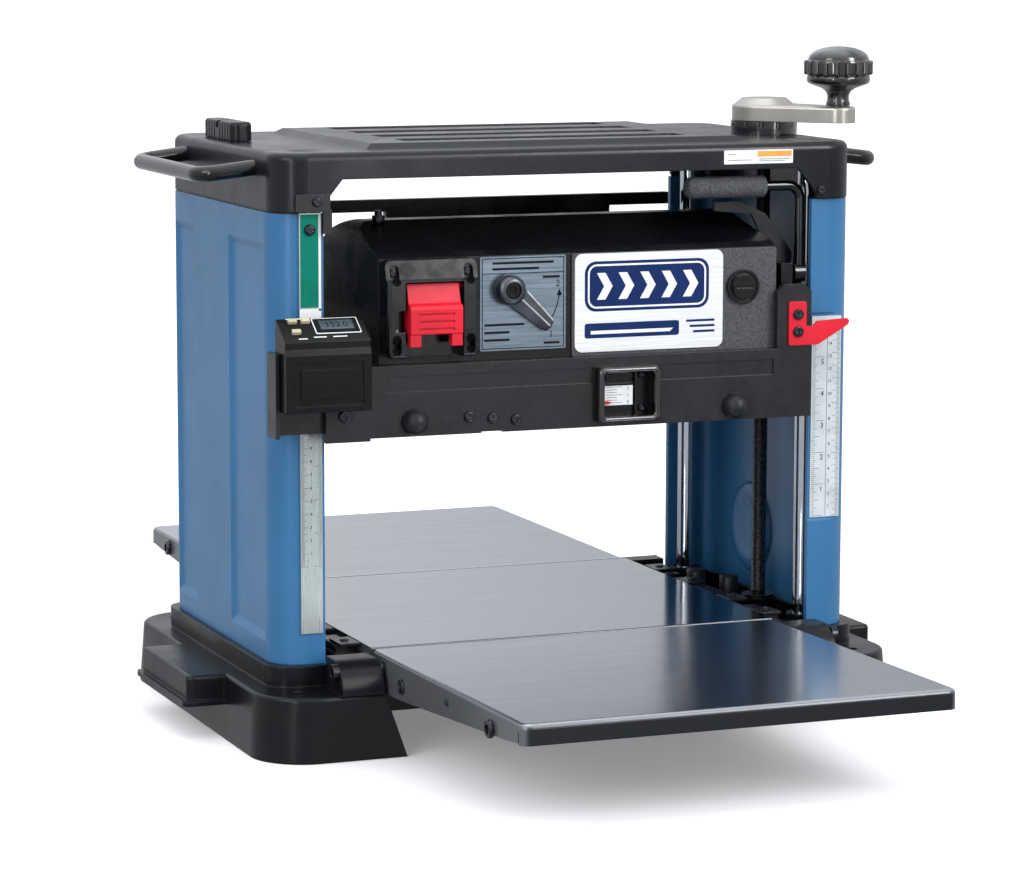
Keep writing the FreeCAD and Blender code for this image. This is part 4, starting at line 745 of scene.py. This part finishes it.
def switch_screws():
    """The four screws in the corners of the switch's housing."""
    screws = bmesh.new()
    for x in (-155, -96):
        for z in (306.5, 361.5):
            cross_screw(screws, (x, -159.1, z), (0, -1, 0), 3.1, 2.4)
    piece("switch_screws", screws, "dark_screw", "carriage")


def bed_details():
    """Stop pads and round bosses inside the columns, and low clips with screws on the table's rails."""
    pads, clips, screws, bosses = bmesh.new(), bmesh.new(), bmesh.new(), bmesh.new()
    pad = [(0, 9.5), (6, 9.5), (7, 8), (26, 8), (27.2, 7.2), (27.6, 5.5)]
    boss = [(0, 38), (1.6, 37.6), (3.0, 35.8), (3.8, 32.5), (3.8, 26), (2.8, 22), (2.4, 12), (2.4, 0.5)]
    for side in (-1, 1):
        for x, y in ((195, 58), (209, 23)):
            turned(pads, (side * x, y, 52), (0, 0, 1), pad, 32)
        for y in (-112, -50, 30, 96):
            x0, x1 = sorted((side * 169.5, side * 186))
            add_box(clips, x0, x1, y - 13, y + 13, 74, 76.2)
            cross_screw(screws, (side * 178, y, 76.2), (0, 0, 1), 3.4, 1.3)
        turned(bosses, (side * 236.2, 36, 117), (-side, 0, 0), boss, 64)
    piece("cover_bosses", bosses, "blue_plastic", "frame", angle=50)
    piece("stop_pads", pads, "rubber", "frame")
    piece("rail_clips", clips, "black_steel", "frame", bevel=0.4)
    piece("rail_clip_screws", screws, "dark_screw", "frame")


def cover_seals():
    """The dark strips that close the gap between the side covers and the top cover."""
    centre_x, centre_y, radius, low, high, depth = 216.5, 113.5, 23.7, 405.8, 407.2, 1.6
    end_x, end_y = 204, centre_y + radius
    section = ((-depth, low), (0, low), (0, high), (-depth, high))
    path = [(end_x, -end_y)]
    for cy, start in ((-centre_y, -90), (centre_y, 0)):
        for i in range(9):
            a = math.radians(start + 90 * i / 8)
            path.append((centre_x + radius * math.cos(a), cy + radius * math.sin(a)))
    path.append((end_x, end_y))
    seal = bmesh.new()
    for side in (-1, 1):
        rings = []
        for i, (x, y) in enumerate(path):
            before, after = path[max(i - 1, 0)], path[min(i + 1, len(path) - 1)]
            run = Vector((after[0] - before[0], after[1] - before[1], 0)).normalized()
            rings.append([(side * (x + run.y * out), y - run.x * out, z) for out, z in section])
        add_faces(seal, rings)
    piece("cover_seals", seal, "rubber", "frame")


def side_fasteners():
    """Bolts on the outer faces of the extension tables' side plates."""
    for body, sign, name in (("infeed_table", -1, "infeed"), ("outfeed_table", 1, "outfeed")):
        heads, black = bmesh.new(), bmesh.new()
        for side in (-1, 1):
            face = side * EXTENSION_SIDE_X
            cross_screw(heads, (face, sign * 214.5, 59.4), (side, 0, 0), 5.6, 2.4)
            cross_screw(heads, (face, sign * 309, 66.5), (side, 0, 0), 2.6, 1.6)
            turned(black, (face, sign * 396, 65.6), (side, 0, 0),
                   [(0, 6.6), (1.0, 6.8), (2.2, 6.8), (3.2, 6.2), (3.6, 5.0), (3.4, 3.4), (1.6, 3.2)], 40)
        piece(name + "_side_bolts", heads, "dark_screw", body)
        piece(name + "_stop_bolts", black, "gloss_black", body)


right_ruler_marks()
left_strip_marks()
cover_label()
name_plate_print()
speed_plate_print()
gauge_card()
gauge_rim()
dro_display()
speed_lever()
switch_screws()
cover_seals()
bed_details()
crank_knob()
lead_screw("right_lead_screw", SCREW_X, "crank", RIGHT_SCREW_TOP)
lead_screw("left_lead_screw", -SCREW_X, "left_screw", LEFT_SCREW_TOP)
roller_chain()
side_fasteners()


# ---------------------------------------------------------------- stage
def floor():
    """A white sheet that takes shadows but throws no light back, so that the black parts stay dark."""
    mesh = bpy.data.meshes.new("studio_floor")
    grown = bmesh.new()
    bmesh.ops.create_grid(grown, x_segments=8, y_segments=8, size=120.0)
    grown.to_mesh(mesh)
    grown.free()
    plane = bpy.data.objects.new("studio_floor", mesh)
    bpy.context.scene.collection.objects.link(plane)
    plane.location.z = -0.0005
    plane.visible_diffuse = False
    plane.visible_glossy = False
    plane.visible_shadow = False
    paper = Surface("studio_white", (0.97, 0.97, 0.975), 0.6).mottle(0.8, 0.008)
    paper.shader.inputs["Emission Color"].default_value = (1.0, 1.0, 1.0, 1.0)
    paper.shader.inputs["Emission Strength"].default_value = 0.2
    mesh.materials.append(paper.done(specular=0.2))


def lamp(name, kind, place, aim, power, **settings):
    data = bpy.data.lights.new(name, kind)
    data.energy = power
    for key, value in settings.items():
        setattr(data, key, value)
    holder = bpy.data.objects.new(name, data)
    holder.location = place
    holder.rotation_euler = (Vector(aim) - Vector(place)).to_track_quat("-Z", "Y").to_euler()
    bpy.context.scene.collection.objects.link(holder)


def ramp(tree, value, stops):
    """Grey levels along a value from -1 to 1; each stop is (value, level)."""
    shifted = tree.nodes.new("ShaderNodeMapRange")
    shifted.inputs["From Min"].default_value = -1.0
    tree.links.new(value, shifted.inputs["Value"])
    made = tree.nodes.new("ShaderNodeValToRGB")
    made.color_ramp.elements.remove(made.color_ramp.elements[1])
    for i, (position, level) in enumerate(stops):
        at = (position + 1) / 2
        stop = made.color_ramp.elements.new(at) if i else made.color_ramp.elements[0]
        stop.position = at
        stop.color = (level * 0.99, level, level * 1.02, 1.0)
    tree.links.new(shifted.outputs["Result"], made.inputs["Fac"])
    return made.outputs["Color"]


def sky():
    """A studio dome in greys: dim below, bright overhead, and dimmer toward the right."""
    world = bpy.data.worlds.new("studio")
    world.use_nodes = True
    tree = world.node_tree
    coords = tree.nodes.new("ShaderNodeTexCoord")
    parts = tree.nodes.new("ShaderNodeSeparateXYZ")
    tree.links.new(coords.outputs["Generated"], parts.inputs["Vector"])
    height = ramp(tree, parts.outputs["Z"],
                  ((-1.0, 0.3), (-0.3, 0.5), (0.0, 0.66), (0.3, 0.75), (0.6, 1.2), (1.0, 1.4)))
    across = ramp(tree, parts.outputs["X"],
                  ((-1.0, 1.0), (-0.3, 0.95), (0.2, 1.2), (0.34, 1.0), (0.5, 0.62), (1.0, 1.1)))
    both = tree.nodes.new("ShaderNodeMix")
    both.data_type = "RGBA"
    both.blend_type = "MULTIPLY"
    both.inputs["Factor"].default_value = 1.0
    tree.links.new(height, both.inputs["A"])
    tree.links.new(across, both.inputs["B"])
    tree.links.new(both.outputs["Result"], tree.nodes["Background"].inputs["Color"])
    bpy.context.scene.world = world


def studio():
    floor()
    sky()
    lamp("overhead", "SUN", (-0.3, 0.2, 3.0), (0, 0, 0), 0.35, angle=math.radians(60))
    for name, place, aim, power, wide, tall in (
            ("key", (-2.6, -1.4, 1.9), (0, 0, 0.2), 20, 1.2, 1.6),
            ("right", (1.6, -2.6, 1.9), (0.15, 0, 0.35), 60, 0.9, 1.6),
            ("left_strip", (-2.3, -2.6, 0.9), (-0.1, 0, 0.3), 16, 0.22, 1.8),
            ("right_strip", (0.9, -3.0, 0.9), (0.2, 0, 0.3), 9, 0.2, 1.6)):
        lamp(name, "AREA", place, aim, power, shape="RECTANGLE", size=wide, size_y=tall)


def camera():
    """A long lens, a little above the table and to the left."""
    place, aim = Vector((-1.0742, -2.7153, 0.6246)), Vector((0.0043, 0.0, 0.2068))
    lens = bpy.data.cameras.new("camera")
    lens.sensor_width = 36.0
    lens.lens = 128.62
    lens.clip_end = 400
    holder = bpy.data.objects.new("camera", lens)
    look = (aim - place).to_track_quat("-Z", "Y").to_matrix().to_4x4()
    roll = Matrix.Rotation(math.radians(0.13), 4, "Z")
    holder.matrix_world = Matrix.Translation(place) @ look @ roll
    bpy.context.scene.collection.objects.link(holder)
    bpy.context.scene.camera = holder


studio()
camera()
bpy.context.scene.view_settings.view_transform = "Standard"
